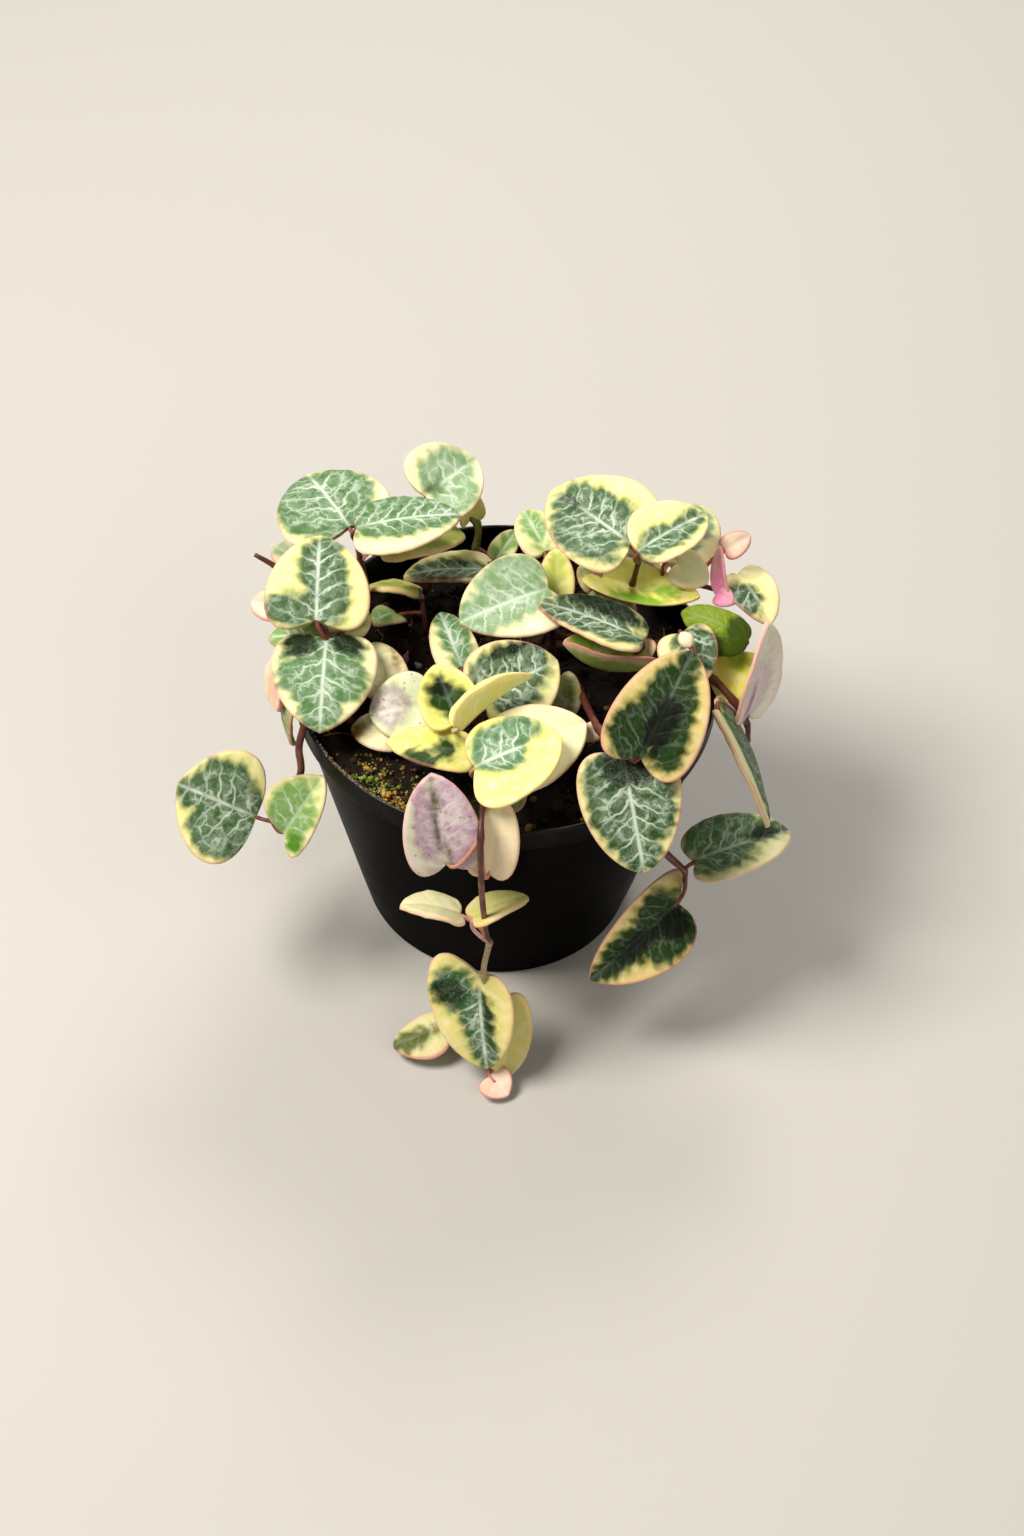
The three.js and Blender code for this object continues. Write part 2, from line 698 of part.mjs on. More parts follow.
function makeSprout() {
  const [x, y] = sprout.root;
  const foot = SOIL_LEVEL - ROOT_DEPTH;
  const profile = [
    [0, foot],
    [sprout.radius, foot],
    [sprout.radius, SOIL_LEVEL + 2],
    [sprout.radius * 0.9, sprout.height - 1.2],
    [0, sprout.height],
  ];
  const bud = turned(profile, 8);
  bud.translate(x, y, 0);
  const spots = bud.attributes.position;
  for (let i = 0; i < spots.count; i++) {
    const above = Math.max(0, spots.getZ(i) - SOIL_LEVEL - 2);
    spots.setX(i, spots.getX(i) + (sprout.lean * above) / (sprout.height - SOIL_LEVEL));
  }
  return toSolid(bud);
}

// ---- Assembly ----

const plant = new THREE.Group();
plant.add(toMesh('pot', makePot(), blackPlastic));
plant.add(toMesh('soil', makeSoil([...strands, sprout]), peat));
for (const strand of strands) {
  plant.add(toMesh(strand.name, makeStrand(strand), leafMaterial(strand.color)));
}
plant.add(toMesh(sprout.name, makeSprout(), purpleShoot));

export default plant;
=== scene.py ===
"""A variegated string of hearts in its small black nursery pot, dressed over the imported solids.

Lengths in the tables and in the mesh code are millimetres; meshes are scaled to metres as they are made.
"""

import json
import random
from itertools import product
from math import cos, degrees, exp, hypot, pi, radians, sin, sqrt, tau

import bmesh
import bpy
import numpy as np
from mathutils import Matrix, Vector, noise
from numpy.linalg import norm


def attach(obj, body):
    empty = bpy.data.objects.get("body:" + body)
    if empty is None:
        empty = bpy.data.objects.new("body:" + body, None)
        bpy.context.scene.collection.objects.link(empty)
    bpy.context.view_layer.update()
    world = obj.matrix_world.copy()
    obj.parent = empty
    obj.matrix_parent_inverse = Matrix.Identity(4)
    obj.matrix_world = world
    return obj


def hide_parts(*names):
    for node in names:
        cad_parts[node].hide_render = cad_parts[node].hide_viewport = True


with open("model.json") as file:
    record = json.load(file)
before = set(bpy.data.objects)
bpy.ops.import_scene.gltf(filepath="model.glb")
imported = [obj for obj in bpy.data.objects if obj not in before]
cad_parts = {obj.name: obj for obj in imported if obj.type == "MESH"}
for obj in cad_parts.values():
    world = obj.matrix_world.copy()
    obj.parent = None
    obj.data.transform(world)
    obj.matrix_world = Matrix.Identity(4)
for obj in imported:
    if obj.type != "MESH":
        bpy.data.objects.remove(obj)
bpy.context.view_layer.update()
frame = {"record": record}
frame_slots = {part["node"]: part["material_slot"] for part in frame["record"]["subparts"]}

MM = 0.001
BODY = "root"

# ---- The pot and the soil, as in the part's source ----

POT_HEIGHT = 63
RIM_RADIUS = 42.5
RIM_BAND_HEIGHT = 5
WALL_TOP_RADIUS = 41.5
POT_BASE_RADIUS = 28.5
POT_WALL = 1.1
POT_FLOOR = 1.5
DRAIN_HOLES = 5
DRAIN_HOLE_RADIUS = 1.9
DRAIN_CIRCLE_RADIUS = 17
SOIL_LEVEL = 57.2
SOIL_EDGE_RADIUS = 39.4

# ---- Stems and leaves, as in the part's source ----

STEM_RADIUS = 0.75
ROOT_DEPTH = 7
PETIOLE_RADIUS = 0.5
PETIOLE_SINK = 1.6
APEX = 0.08
HALF_THICKNESS = 0.55
STRANDS = []


def strand(name, root, route, branches=(), radius=STEM_RADIUS, young=None):
    """Starts a leafy stem; young is the joint from which it is still pale."""
    STRANDS.append(dict(name=name, root=root, route=route, leaves=[], branches=branches,
                        radius=radius, young=young))


def leaf(at, base, tip, face, width, look, green=(), deep=(), **form):
    """Adds to the last stem, at its point number at, a blade from base to tip that faces along face.

    look names its colours. green lists the ovals that make up its green patch, each a middle (along,
    across) and half sizes, as percentages of the length and half width; deep lists darker ones in it.
    """
    plain = dict(cup=0, bow=0.8, fold=5, notch=0.15, point=0.28, lean=0, tilt=0)
    green, deep = [[[part / 100 for part in oval] for oval in ovals] for ovals in (green, deep)]
    STRANDS[-1]["leaves"].append(dict(plain, at=at, base=base, tip=tip, face=face, width=width,
                                      look=look, green=green, deep=deep, **form))


strand("front_trail", (1, -27),
    [(0, -31, 64.5), (-3.2, -41.5, 69.8), (-3.3, -47.5, 67.8), (-2.9, -49, 57), (-1.6, -48.5, 41),
    (-0.8, -48.5, 37), (-1.6, -48, 25), (1, -49.5, 16), (1, -52, 8)], radius=0.6, young=5)
leaf(0, (-5, -34, 72), (11, -26.5, 74), (0, -1, 9), 19.5, "lemon_marbled",
    [(30, 15, 30, 52), (55, 35, 24, 34)], lean=-0.15)
leaf(0, (-2, -27.5, 68), (16, -19.5, 70), (0, -1, 3), 18, "butter", lean=-0.15)
leaf(0, (4, -31.5, 64.5), (3, -35, 60.5), (0, -1, 1), 3, "olive", notch=0)
leaf(2, (-9.5, -47.2, 59.5), (-13, -41.2, 78), (0.2, -2, 1), 15.3, "mauve",
    [(50, -32, 58, 56), (45, 30, 46, 30)], [(80, 2, 18, 12), (45, 10, 30, 7), (10, -8, 14, 10)],
    fold=12, point=0, notch=0.18)
leaf(2, (-1.5, -46.4, 56), (0.5, -39.8, 70.5), (0, -2, 1), 10, "peach", point=0.15)
leaf(5, (-7, -46, 42), (-18.5, -46.5, 44.5), (0, 1, 2), 13, "butter")
leaf(5, (-4, -47, 42.5), (6.5, -42.5, 44), (0, 1, 2), 11, "lemon_dim")
leaf(6, (-2.5, -47, 24), (0, -57, 6), (-1, -3, 2), 18, "butter_dark",
    [(75, -2, 22, 26), (42, -8, 33, 36), (12, -60, 20, 50)], [(35, 20, 30, 15), (15, -70, 15, 40)],
    fold=8, notch=0.18, lean=-0.2)
leaf(7, (2, -47.5, 16.5), (4, -56, 1.8), (0.3, -1, 1), 12, "lemon_dim", fold=10)
leaf(8, (0.5, -57, 3), (4.5, -60.5, 1.6), (0, -1, 2), 7.5, "blush", cup=1, bow=0)
leaf(8, (-10, -47.5, 6.5), (-19.5, -51, 3), (0, 0, 1), 11, "olive_cream", [(55, 10, 50, 35)], cup=-2,
    bow=0)

strand("left_trail", (-29, -14),
    [(-33, -15.5, 66), (-37.5, -18.5, 67.5), (-39.8, -20.6, 61), (-39.6, -21.5, 54),
    (-41.5, -24.5, 49), (-45, -27, 45)])
leaf(1, (-43, -9.5, 60), (-42, -11, 50), (-3, -1, 0), 8, "olive", fold=0)
leaf(5, (-48.5, -25.5, 44.2), (-64, -23.5, 51), (0, -2, 3), 24, "sage",
    [(32, 40, 42, 50), (50, -28, 32, 42), (20, -15, 25, 25), (76, 5, 20, 30)], fold=10, notch=0.04,
    lean=0.05)
leaf(5, (-42.5, -29, 43.8), (-34.8, -23.5, 55.2), (0, -2, 3), 13, "sage_light",
    [(40, 36, 44, 50), (30, -25, 28, 30), (0, -40, 15, 30)], [(0, -45, 14, 30)], fold=15, lean=0.15,
    tilt=-1.4)

strand("left_top", (-29, -1),
    [(-31.5, -1.5, 66), (-34.5, -4, 73), (-38, 4, 72), (-43, 12, 72.5), (-47.5, 15.5, 74),
    (-51.5, 16.5, 76)])
leaf(1, (-37.5, -3, 78), (-38, 13.5, 85), (0, -1, 3), 21, "sage",
    [(62, -8, 36, 42), (40, -20, 30, 42), (10, 45, 17, 52), (12, -12, 20, 42)], cup=-1, notch=0.18)
# Its two deep ovals at the base are painted shade: the shadow that the leaf above casts on it.
leaf(1, (-35.5, -4.5, 74), (-35.5, -22.5, 67), (0, -1, 2), 21, "marbled",
    [(45, 0, 31, 82), (80, 0, 20, 36), (13, 0, 24, 76)], [(3, 50, 16, 38), (5, -50, 18, 40)], cup=-1.5,
    bow=1.5)
leaf(0, (-35, 0, 69), (-47.5, 0, 69), (0, 0, 1), 11, "sage_light", [(50, 0, 55, 80)])
leaf(0, (-33, 1, 71), (-31, 8.5, 72.5), (0, 0, 1), 11, "sage_light", [(50, 0, 50, 70)])
leaf(0, (-44, -2, 66), (-45, -9.5, 58), (-3, -1, 1), 12, "blush", [(50, 0, 30, 40)], fold=10)
leaf(2, (-45.5, 5, 73), (-51.5, 7, 72), (-1, -1, 2), 7, "blush")
leaf(3, (-43.5, 18, 73), (-48.5, 20.5, 74), (0, 0, 1), 8, "cream_pink", [(50, 0, 40, 50)])

strand("back_left", (-29, 19), [(-29.5, 19, 66), (-30.5, 20, 72), (-31.5, 20, 78)])
leaf(2, (-33, 22.5, 79), (-42.5, 36, 80), (0, 0, 1), 25, "marbled",
    [(45, 25, 52, 72), (50, -25, 45, 48)], cup=-1, fold=6, lean=0.05)
leaf(2, (-31, 18.5, 82.5), (-10.5, 22.5, 83.5), (0, 1, 5), 20, "marbled",
    [(50, 35, 60, 80), (42, -12, 45, 50)], cup=-1, notch=0.1, lean=-0.1)
leaf(1, (-25.5, 21, 76), (-9.5, 23.5, 77), (0, 1, 5), 16, "lemon_dim", [(50, 0, 50, 60)])

strand("back_upright", (-8, 34), [(-7.5, 35, 63), (-7.5, 36, 69), (-13, 35, 74), (-17.5, 33, 78)])
leaf(3, (-18, 32, 79.5), (-8, 40.5, 82.5), (0, -1, 2), 18.5, "frosted",
    [(48, 15, 40, 50), (35, -40, 30, 50)], [(12, 0, 20, 12)], fold=15)
leaf(1, (-9, 36, 70), (-10.5, 36, 80), (1, -2, 1), 7, "lemon", fold=30)
leaf(0, (-4.5, 25.5, 65.5), (-22, 22.5, 65.5), (0, 0.7, 2), 15, "sage_dark", [(45, 20, 50, 70)],
    fold=8)
leaf(0, (-3, 28, 66.5), (1, 33.5, 70), (0, -1, 2), 6, "sage_light", [(50, 0, 50, 60)], fold=20)

strand("small_inner", (-17, 17), [(-17.5, 18, 60), (-18, 19.5, 62.5)])
leaf(0, (-23, 17, 60), (-27.5, 13, 61), (0, 0.5, 2), 8, "sage_light", [(50, 0, 50, 60)])
leaf(1, (-19, 22, 62), (-29.5, 22.5, 62), (0, 2, 3), 12, "lemon_dim", [(50, 0, 30, 30)], fold=0)

strand("right_top", (23, 16), [(23.5, 16, 66), (24.5, 15.5, 73), (25.3, 14.8, 80.5)],
    branches=[(0, [(31, 17, 73), (37, 16, 74), (42, 14.5, 74)])])
leaf(2, (23.5, 15.5, 84.5), (7.5, 29, 85.5), (0, -1, 3), 22.5, "sage",
    [(38, 38, 38, 50), (40, -12, 46, 42), (76, 5, 14, 30)], [(75, 2, 22, 8)], cup=1)
leaf(2, (25, 13, 85), (38.5, 21.5, 88), (0, 0, 1), 16, "sage", [(40, -18, 42, 42), (78, -2, 16, 24)],
    fold=15, notch=0.06)
leaf(1, (17, 17, 74.5), (38, 10.5, 76), (0, -0.5, 3), 11, "lemon_green",
    [(45, -80, 20, 40), (66, 10, 10, 20)], bow=-2, fold=15, cup=1)
leaf(1, (18, 18, 69.5), (25.5, 10.5, 67.5), (0, -1, 1), 9, "olive")
leaf(1, (16.5, 14.5, 73), (14, 20, 74), (0, -1, 1), 4, "olive")
leaf(3, (31, 18, 78.5), (39.5, 31.5, 80.5), (0, -1, 3), 16, "cream_sage", [(50, 0, 40, 50)])
leaf(3, (33, 16, 79.5), (39.5, 13, 77.5), (0, -1, 1), 8, "butter")
leaf(5, (43, 12.5, 75), (41.5, 18, 83), (-1, -1, 1), 5, "hotpink", fold=40, point=0.3)
leaf(4, (42.5, 18, 82), (47.5, 20.5, 84), (0, -1, 1), 5.5, "blush")
leaf(5, (45.5, 18, 75), (52.5, 8, 71.5), (1, -1, 2), 12, "sage_dark", [(45, -45, 30, 60)], fold=10)
leaf(5, (41.5, 12.5, 75), (45, 10, 75), (0, -1, 1), 4.5, "hotpink")

strand("right_side", (32, -2), [(34, -2, 64), (37, -1.5, 68), (42, 0, 70.5), (45, 1, 71.5)],
    branches=[(1, [(41, -6, 69.5), (45, -9, 67), (48.2, -10.5, 62), (48.7, -11.5, 58)])])
leaf(3, (47.5, 1, 74), (34, 5, 77), (0, 0, 1), 12, "bright", [(50, 0, 90, 130)],
    [(50, 90, 50, 50), (10, 0, 25, 90)], cup=-2, notch=0.06)
leaf(3, (46.5, 1.5, 70), (43.5, -8, 65), (0, -1, 1), 12, "lime", [(20, 0, 12, 20)], cup=-1)
leaf(1, (34, -1, 77), (38.5, -9.5, 72), (0, -1, 1), 12, "sage_dark", [(40, 30, 50, 70)], cup=-1)
leaf(1, (35.5, -7.5, 80), (33.5, -4.5, 81), (0, -1, 1), 3, "cream", notch=0)
leaf(6, (48, -9.5, 64), (50.5, -1.5, 82), (2, -1, 1), 15, "silver_pink", [(30, 20, 35, 50)],
    [(20, 30, 20, 20)], fold=10, notch=0.18)
leaf(6, (41.5, -17, 72), (53, -28.5, 52), (9, 1.2, 5), 15, "half", [(50, 50, 70, 55)])

strand("right_front", (11, 1),
    [(12.5, -1, 63), (14.5, -6, 65), (18.5, -20, 69), (22.5, -28, 71.5), (24.5, -31.5, 73.5)])
leaf(4, (26, -33, 76), (35, -17, 89), (0, -1, 1), 19, "dark",
    [(20, 30, 27, 56), (25, -32, 30, 45), (55, 0, 30, 50), (85, 0, 16, 20)], [(30, -10, 30, 30)],
    fold=8, notch=0.18)
leaf(4, (23, -30.5, 73), (28, -46.5, 58), (0, -1, 1), 20, "sage_dark",
    [(32, 0, 48, 86), (74, 0, 25, 42)], [(5, 10, 20, 60)])
leaf(1, (12, -11, 64), (12.5, -3, 67), (0, -1, 2), 6, "olive")
leaf(2, (18.5, -18, 67), (14.5, -19, 65), (0, -1, 1), 4, "peach")

strand("right_trail", (28, -14),
    [(29, -20, 65.5), (29, -29.5, 67), (29.8, -34, 61), (32, -35, 52), (37.2, -32.5, 42),
    (37.6, -31.5, 38)])
leaf(4, (39.5, -29, 41), (58.5, -22, 43), (0, 0, 1), 16, "marbled",
    [(35, 38, 42, 60), (28, -28, 32, 40), (80, 15, 18, 26)], [(75, 10, 16, 25)], fold=10, point=0.05)
# This leaf's near-black dark look is partly its own deep green and partly painted shade for the shadow
# it hangs in below the plant.
leaf(5, (36.5, -33.5, 33), (19.5, -47, 24), (0, -1, 1), 16, "dark",
    [(25, 30, 30, 75), (60, 2, 38, 42), (20, -30, 22, 35)], [(50, 10, 30, 25), (15, 30, 15, 40)],
    fold=12, notch=0.18, point=0.45, lean=0.15, tilt=-1)

strand("centre", (9, 9), [(9, 8.5, 65), (8, 7.5, 73)], branches=[(0, [(17, 4, 68), (25, -0.5, 70)])])
leaf(1, (7.5, 9.5, 77), (-9.5, -1.5, 77.5), (0, -1, 3), 19, "frosted",
    [(50, 0, 48, 50), (30, -50, 36, 42), (80, 30, 16, 25)], fold=8)
leaf(3, (26.5, -1, 74.5), (5.5, 5, 77.5), (0, 1, 4), 16, "sage_dark",
    [(50, 20, 52, 58), (42, -50, 45, 50)], [(40, -60, 40, 35)], notch=0.08)
leaf(3, (27, -3, 69), (11, -1.5, 74), (0, 1, 4), 15, "pink_green",
    [(40, 30, 35, 40), (75, -30, 20, 50), (25, -30, 20, 40)], bow=-3, fold=58)

strand("centre_back", (4, 22), [(4, 22.5, 63), (4, 23, 67)])
leaf(1, (9.5, 13, 71), (9, 24.5, 74), (0, 0, 1), 7.5, "lemon_dim", [(50, 0, 30, 40)])
leaf(1, (7, 27.5, 70), (2, 37, 72), (0, -1, 2), 10, "sage_light", [(50, 0, 40, 40)], fold=20)

strand("centre_front", (-4, -14), [(-4.5, -16.5, 65), (-9, -20.5, 68.5), (-8.5, -25, 66)],
    branches=[(0, [(-6, -8, 63), (-8.5, -2, 62.5)])])
leaf(0, (-4, -15, 70.5), (10, -6.5, 73.5), (0, -1, 2), 19, "sage_dark",
    [(42, 25, 50, 60), (35, -25, 30, 40)], [(60, 75, 35, 25)])
leaf(4, (-9, -0.5, 64), (-14, 12.5, 66), (0, -1, 2), 9.5, "marbled", [(50, -10, 60, 60)])
leaf(1, (-9, -21.5, 71), (-14, -11.5, 76), (0, -1, 1), 12, "lemon_dark",
    [(47, 8, 30, 54), (24, -15, 22, 45)], [(60, 0, 14, 50)], cup=2, bow=0)
leaf(1, (-8, -25.5, 74), (5, -16, 79.5), (0, 1, 1), 10, "lemon", fold=60)
leaf(2, (-6.5, -26.5, 67), (-22.5, -25, 68), (0, -0.2, 2), 10.5, "lemon_dark",
    [(56, 66, 20, 42), (29, 2, 12, 46)])

strand("left_short", (-19, -10), [(-19.3, -11, 61), (-19.5, -12, 63.5)])
leaf(1, (-15, -13.5, 66), (-26.5, -16, 65.5), (0, -1, 2), 15, "mottled", [(62, -10, 32, 50)],
    [(30, 35, 10, 14), (12, 60, 10, 16)])
leaf(0, (-20.5, -18.5, 63), (-30, -16.5, 62), (0, -1, 3), 9, "stained", [(80, 10, 20, 60)],
    [(85, 10, 16, 50)])
leaf(1, (-23, -10, 66), (-26.5, -0.5, 70), (0, -1, 2), 10, "stained", [(50, -50, 30, 30)],
    [(55, -60, 16, 14)])

strand("back_trail", (14, 31),
    [(14, 34, 65), (15.5, 41.5, 67.5), (16.5, 46, 63), (17, 47.5, 54), (17, 48, 44), (18, 49, 36)])
leaf(3, (13, 49.5, 51), (-1, 51, 47), (0, 1, 1), 16, "sage", [(50, 0, 50, 70)])
leaf(3, (21, 48.5, 51), (34, 44.5, 46), (1, 2, 1), 15, "sage_dark", [(50, 20, 50, 70)])
leaf(5, (14.5, 50.5, 34), (4, 51, 27), (0, 2, 1), 14, "sage", [(50, 0, 55, 70)])
leaf(5, (22, 49, 33), (28, 47, 20), (1, 2, 1), 14, "marbled", [(50, 0, 50, 70)], point=0.4)

strand("back_left_trail", (-17, 28),
    [(-20, 32.5, 65), (-25, 37.5, 67.5), (-28, 40.5, 61), (-29, 42, 52), (-29.5, 43, 44)])
leaf(3, (-25, 44.5, 49), (-12, 49, 45), (0, 1, 1), 15, "marbled", [(50, 0, 50, 70)])
leaf(3, (-33, 41, 49), (-42, 33.5, 43), (-2, 1, 2), 15, "sage", [(50, 20, 50, 70)])
leaf(4, (-30, 44, 40), (-33, 44.5, 27), (-1, 2, 1), 13, "sage_dark", [(50, 0, 50, 70)], point=0.4)


# ---- Colours ----


def rgb(text):
    """An opaque linear colour from sRGB hex digits."""
    channels = [int(text[i:i + 2], 16) / 255 for i in (0, 2, 4)]
    return (*(c / 12.92 if c <= 0.04045 else ((c + 0.055) / 1.055) ** 2.4 for c in channels), 1.0)


def palette(text):
    return [rgb(digits) for digits in text.split()]


SAGE_HAZE = rgb("a8c49e")
ROSE_HAZE = rgb("f3e6e0")
FROST_HAZE = rgb("d6e2cb")
TONES = ("margin", "green", "deep", "haze")  # a look's colours


def look(colours, veins, silver, blush, petiole="7d4030", haze=SAGE_HAZE, specks=0.0):
    """colours are the margin's, green and deep; veins, silver, blush and specks are strengths."""
    margin, green, deep = palette(colours)
    return dict(margin=margin, green=green, deep=deep, veins=veins, silver=silver, blush=blush,
                petiole=rgb(petiole), haze=haze, specks=specks)


LOOKS = {
    "marbled": look("f8f3b8 4c713c 14260b", 0.85, 0.7, 0.5),
    "frosted": look("f9f4c8 7f9e6c 4c6b36", 0.8, 0.75, 0.5, haze=FROST_HAZE),
    "sage": look("f6efa0 37562a 14260b", 0.9, 0.7, 0.6),
    "sage_light": look("f0f0b0 7aa24c 4f8418", 0.85, 0.5, 0.5),
    "sage_dark": look("f3eaa4 284717 0d1e05", 0.9, 0.75, 0.6),
    # dark: the leaves' own deep green, darkened further to near black as painted shade for the low
    # right_trail leaf that hangs in shadow.
    "dark": look("e0c474 1c3604 081102", 0.18, 0, 0.9),
    "half": look("e9e2a2 38561f 1e3614", 0.4, 0.4, 0.6),
    "lemon": look("f6ee86 cfd45a 8a9a20", 0.1, 0, 0.3, "d8b98a"),
    "butter": look("fbf5bc dfe08c a8b048", 0.1, 0, 0.6, "e6b0a4"),
    "lemon_dim": look("e6dc7c b3b84e 5c7020", 0.2, 0.1, 0.5, "e0a49c"),
    "lemon_marbled": look("f7f088 4d7446 28501f", 1, 1.15, 0.3, "b58a63"),
    "lemon_dark": look("f2e978 224009 0c1a04", 0.12, 0, 0.4, "b58a63"),
    "lemon_green": look("f5eb6c 80b01e 467a0c", 0.1, 0, 0.4, "b58a63"),
    "butter_dark": look("ecdc88 30542a 14280a", 0.95, 0.75, 0.5, "d8c3a0"),
    "olive": look("6f7d2a 43521a 28350c", 0.3, 0.1, 0.5),
    "olive_cream": look("e9dfa0 56601f 343f10", 0.2, 0, 0.9, "b58a63"),
    "bright": look("8c9c24 7a9212 3a4c06", 0.12, 0, 0),
    "lime": look("e6dc50 a6bc34 6c8a1c", 0.1, 0, 0.3),
    "cream": look("f1e7bd b9b676 7c8a3a", 0.1, 0, 0.6),
    "cream_pink": look("f2e2c6 9db087 6c8a4a", 0.3, 0.3, 0.9),
    "cream_sage": look("efe8b0 6d8a5a 41602f", 0.4, 0.6, 0.6),
    "peach": look("ffeabc f0cfa4 d9a37c", 0.1, 0, 0.6, "d98f7d"),
    "blush": look("f3d2bd e9b49f d98c84", 0.1, 0, 1.2, "d98f7d"),
    "hotpink": look("f98cc2 e8489c a82e70", 0.1, 0, 0.5, "d0588e"),
    "mauve": look("fdf4e4 c29ab0 5e5e2a", 0.45, 1.5, 0.6, "c98d78", ROSE_HAZE, 0.8),
    "silver_pink": look("fff2ea e6cfd3 a06a88", 0.2, 1.2, 0.9, haze=ROSE_HAZE, specks=0.35),
    "pink_green": look("fdf5c0 a4c83a 4c8012", 0.1, 0, 2),
    "mottled": look("e4ebc2 ab9f94 5f8426", 0.3, 1.4, 0.3, haze=ROSE_HAZE, specks=1),
    "stained": look("f0e6bc cdbf95 7d5a1e", 0.1, 0.1, 0.5, specks=0.5),
}

STEM_BROWN = rgb("5a2a20")
STEM_GREEN = rgb("7d8a3e")
STEM_PALE = rgb("a8976c")
SPROUT_PURPLE = rgb("9a5876")

# Colours that all leaves share.
PALE_CREAM = rgb("fffbe0")
GREEN_CREAM = rgb("d9dc8c")
HALO_GREEN = rgb("a8b848")
GHOST_VEIN = rgb("fffbe6")
WARM_CREAM = rgb("f3c9a6")
SILVER_DUST = rgb("cfd8c2")
SILVER_VEIN = rgb("e2ebda")
SPECK_BROWN = rgb("7d6a58")
RIM_PINK = rgb("e08f86")
UNDERSIDE = rgb("a9b070")

# ---- Curves, meshes and pieces ----


def vec(values):
    return np.array(values, float)


def unit(values):
    return values / norm(values)


def polar(radius, turn):
    return radius * cos(turn), radius * sin(turn)


def circle(radius, count):
    """x and y of points evenly round a circle."""
    return [polar(radius, tau * k / count) for k in range(count)]


def smooth_path(through, step):
    """Points about step apart on the centripetal Catmull-Rom curve through the given ones."""
    points = [vec(p) for p in through]
    points = [2 * points[0] - points[1], *points, 2 * points[-1] - points[-2]]
    path = [points[1]]
    for p0, p1, p2, p3 in zip(points, points[1:], points[2:], points[3:]):
        k0, k1, k2 = (norm(b - a) ** 0.5 for a, b in ((p0, p1), (p1, p2), (p2, p3)))
        start = ((p1 - p0) / k0 - (p2 - p0) / (k0 + k1) + (p2 - p1) / k1) * k1
        end = ((p2 - p1) / k1 - (p3 - p1) / (k1 + k2) + (p3 - p2) / k2) * k1
        pieces = max(1, round(norm(p2 - p1) / step))
        for i in range(1, pieces + 1):
            t = i / pieces
            square = (3 * (p2 - p1) - 2 * start - end) * t ** 2
            cube = (2 * (p1 - p2) + start + end) * t ** 3
            path.append(p1 + start * t + square + cube)
    return path


def bands(rings, sides, first=0):
    """Faces that join each ring of vertices to the next; first is the first ring's first vertex."""
    for ring, k in product(range(rings - 1), range(sides)):
        a, b = first + ring * sides + k, first + ring * sides + (k + 1) % sides
        yield a, b, b + sides, a + sides


def linked(name, data):
    thing = bpy.data.objects.new(name, data)
    bpy.context.scene.collection.objects.link(thing)
    return thing


# By how many numbers a value has: the kind of attribute, and the field that holds them.
ATTRIBUTE_KINDS = {1: ("FLOAT", "value"), 3: ("FLOAT_VECTOR", "vector"), 4: ("FLOAT_COLOR", "color")}


class Shell:
    """Vertices, faces and per-vertex values of one mesh in the making, in millimetres."""

    def __init__(self):
        self.spots = []
        self.faces = []
        self.values = {}

    def add(self, spots, faces, **values):
        first = len(self.spots)
        self.spots += spots
        self.faces += [[first + i for i in face] for face in faces]
        for name, value in values.items():
            rows = value if isinstance(value, list) else [value] * len(spots)
            self.values.setdefault(name, []).extend(rows)

    def piece(self, name, material, slot):
        mesh = bpy.data.meshes.new(name)
        mesh.from_pydata([tuple(float(c) * MM for c in spot) for spot in self.spots], [], self.faces)
        for key, rows in self.values.items():
            width = len(rows[0]) if isinstance(rows[0], tuple) else 1
            kind, field = ATTRIBUTE_KINDS[width]
            layer = mesh.attributes.new(key, kind, "POINT")
            layer.data.foreach_set(field, np.array(rows, np.float32).ravel())
        mesh.shade_smooth()
        mesh.materials.append(material)
        mesh.update()
        thing = linked(name, mesh)
        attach(thing, BODY)
        return thing


def add_tube(shell, path, radii, sides, **values):
    """A closed tube along a path, with a radius at each point; its rings don't twist."""
    spots = []
    side = vec((0.3, 0.9, 0.2))  # any direction that no stem runs in
    for i, spot in enumerate(path):
        along = unit(path[min(i + 1, len(path) - 1)] - path[max(i - 1, 0)])
        side = unit(side - along * side.dot(along))
        other = np.cross(along, side)
        spots += [spot + radii[i] * (side * x + other * y) for x, y in circle(1, sides)]
    last = (len(path) - 1) * sides
    ends = [tuple(reversed(range(sides))), tuple(range(last, last + sides))]
    shell.add(spots, [*bands(len(path), sides), *ends], **values)


# ---- Shader helpers ----


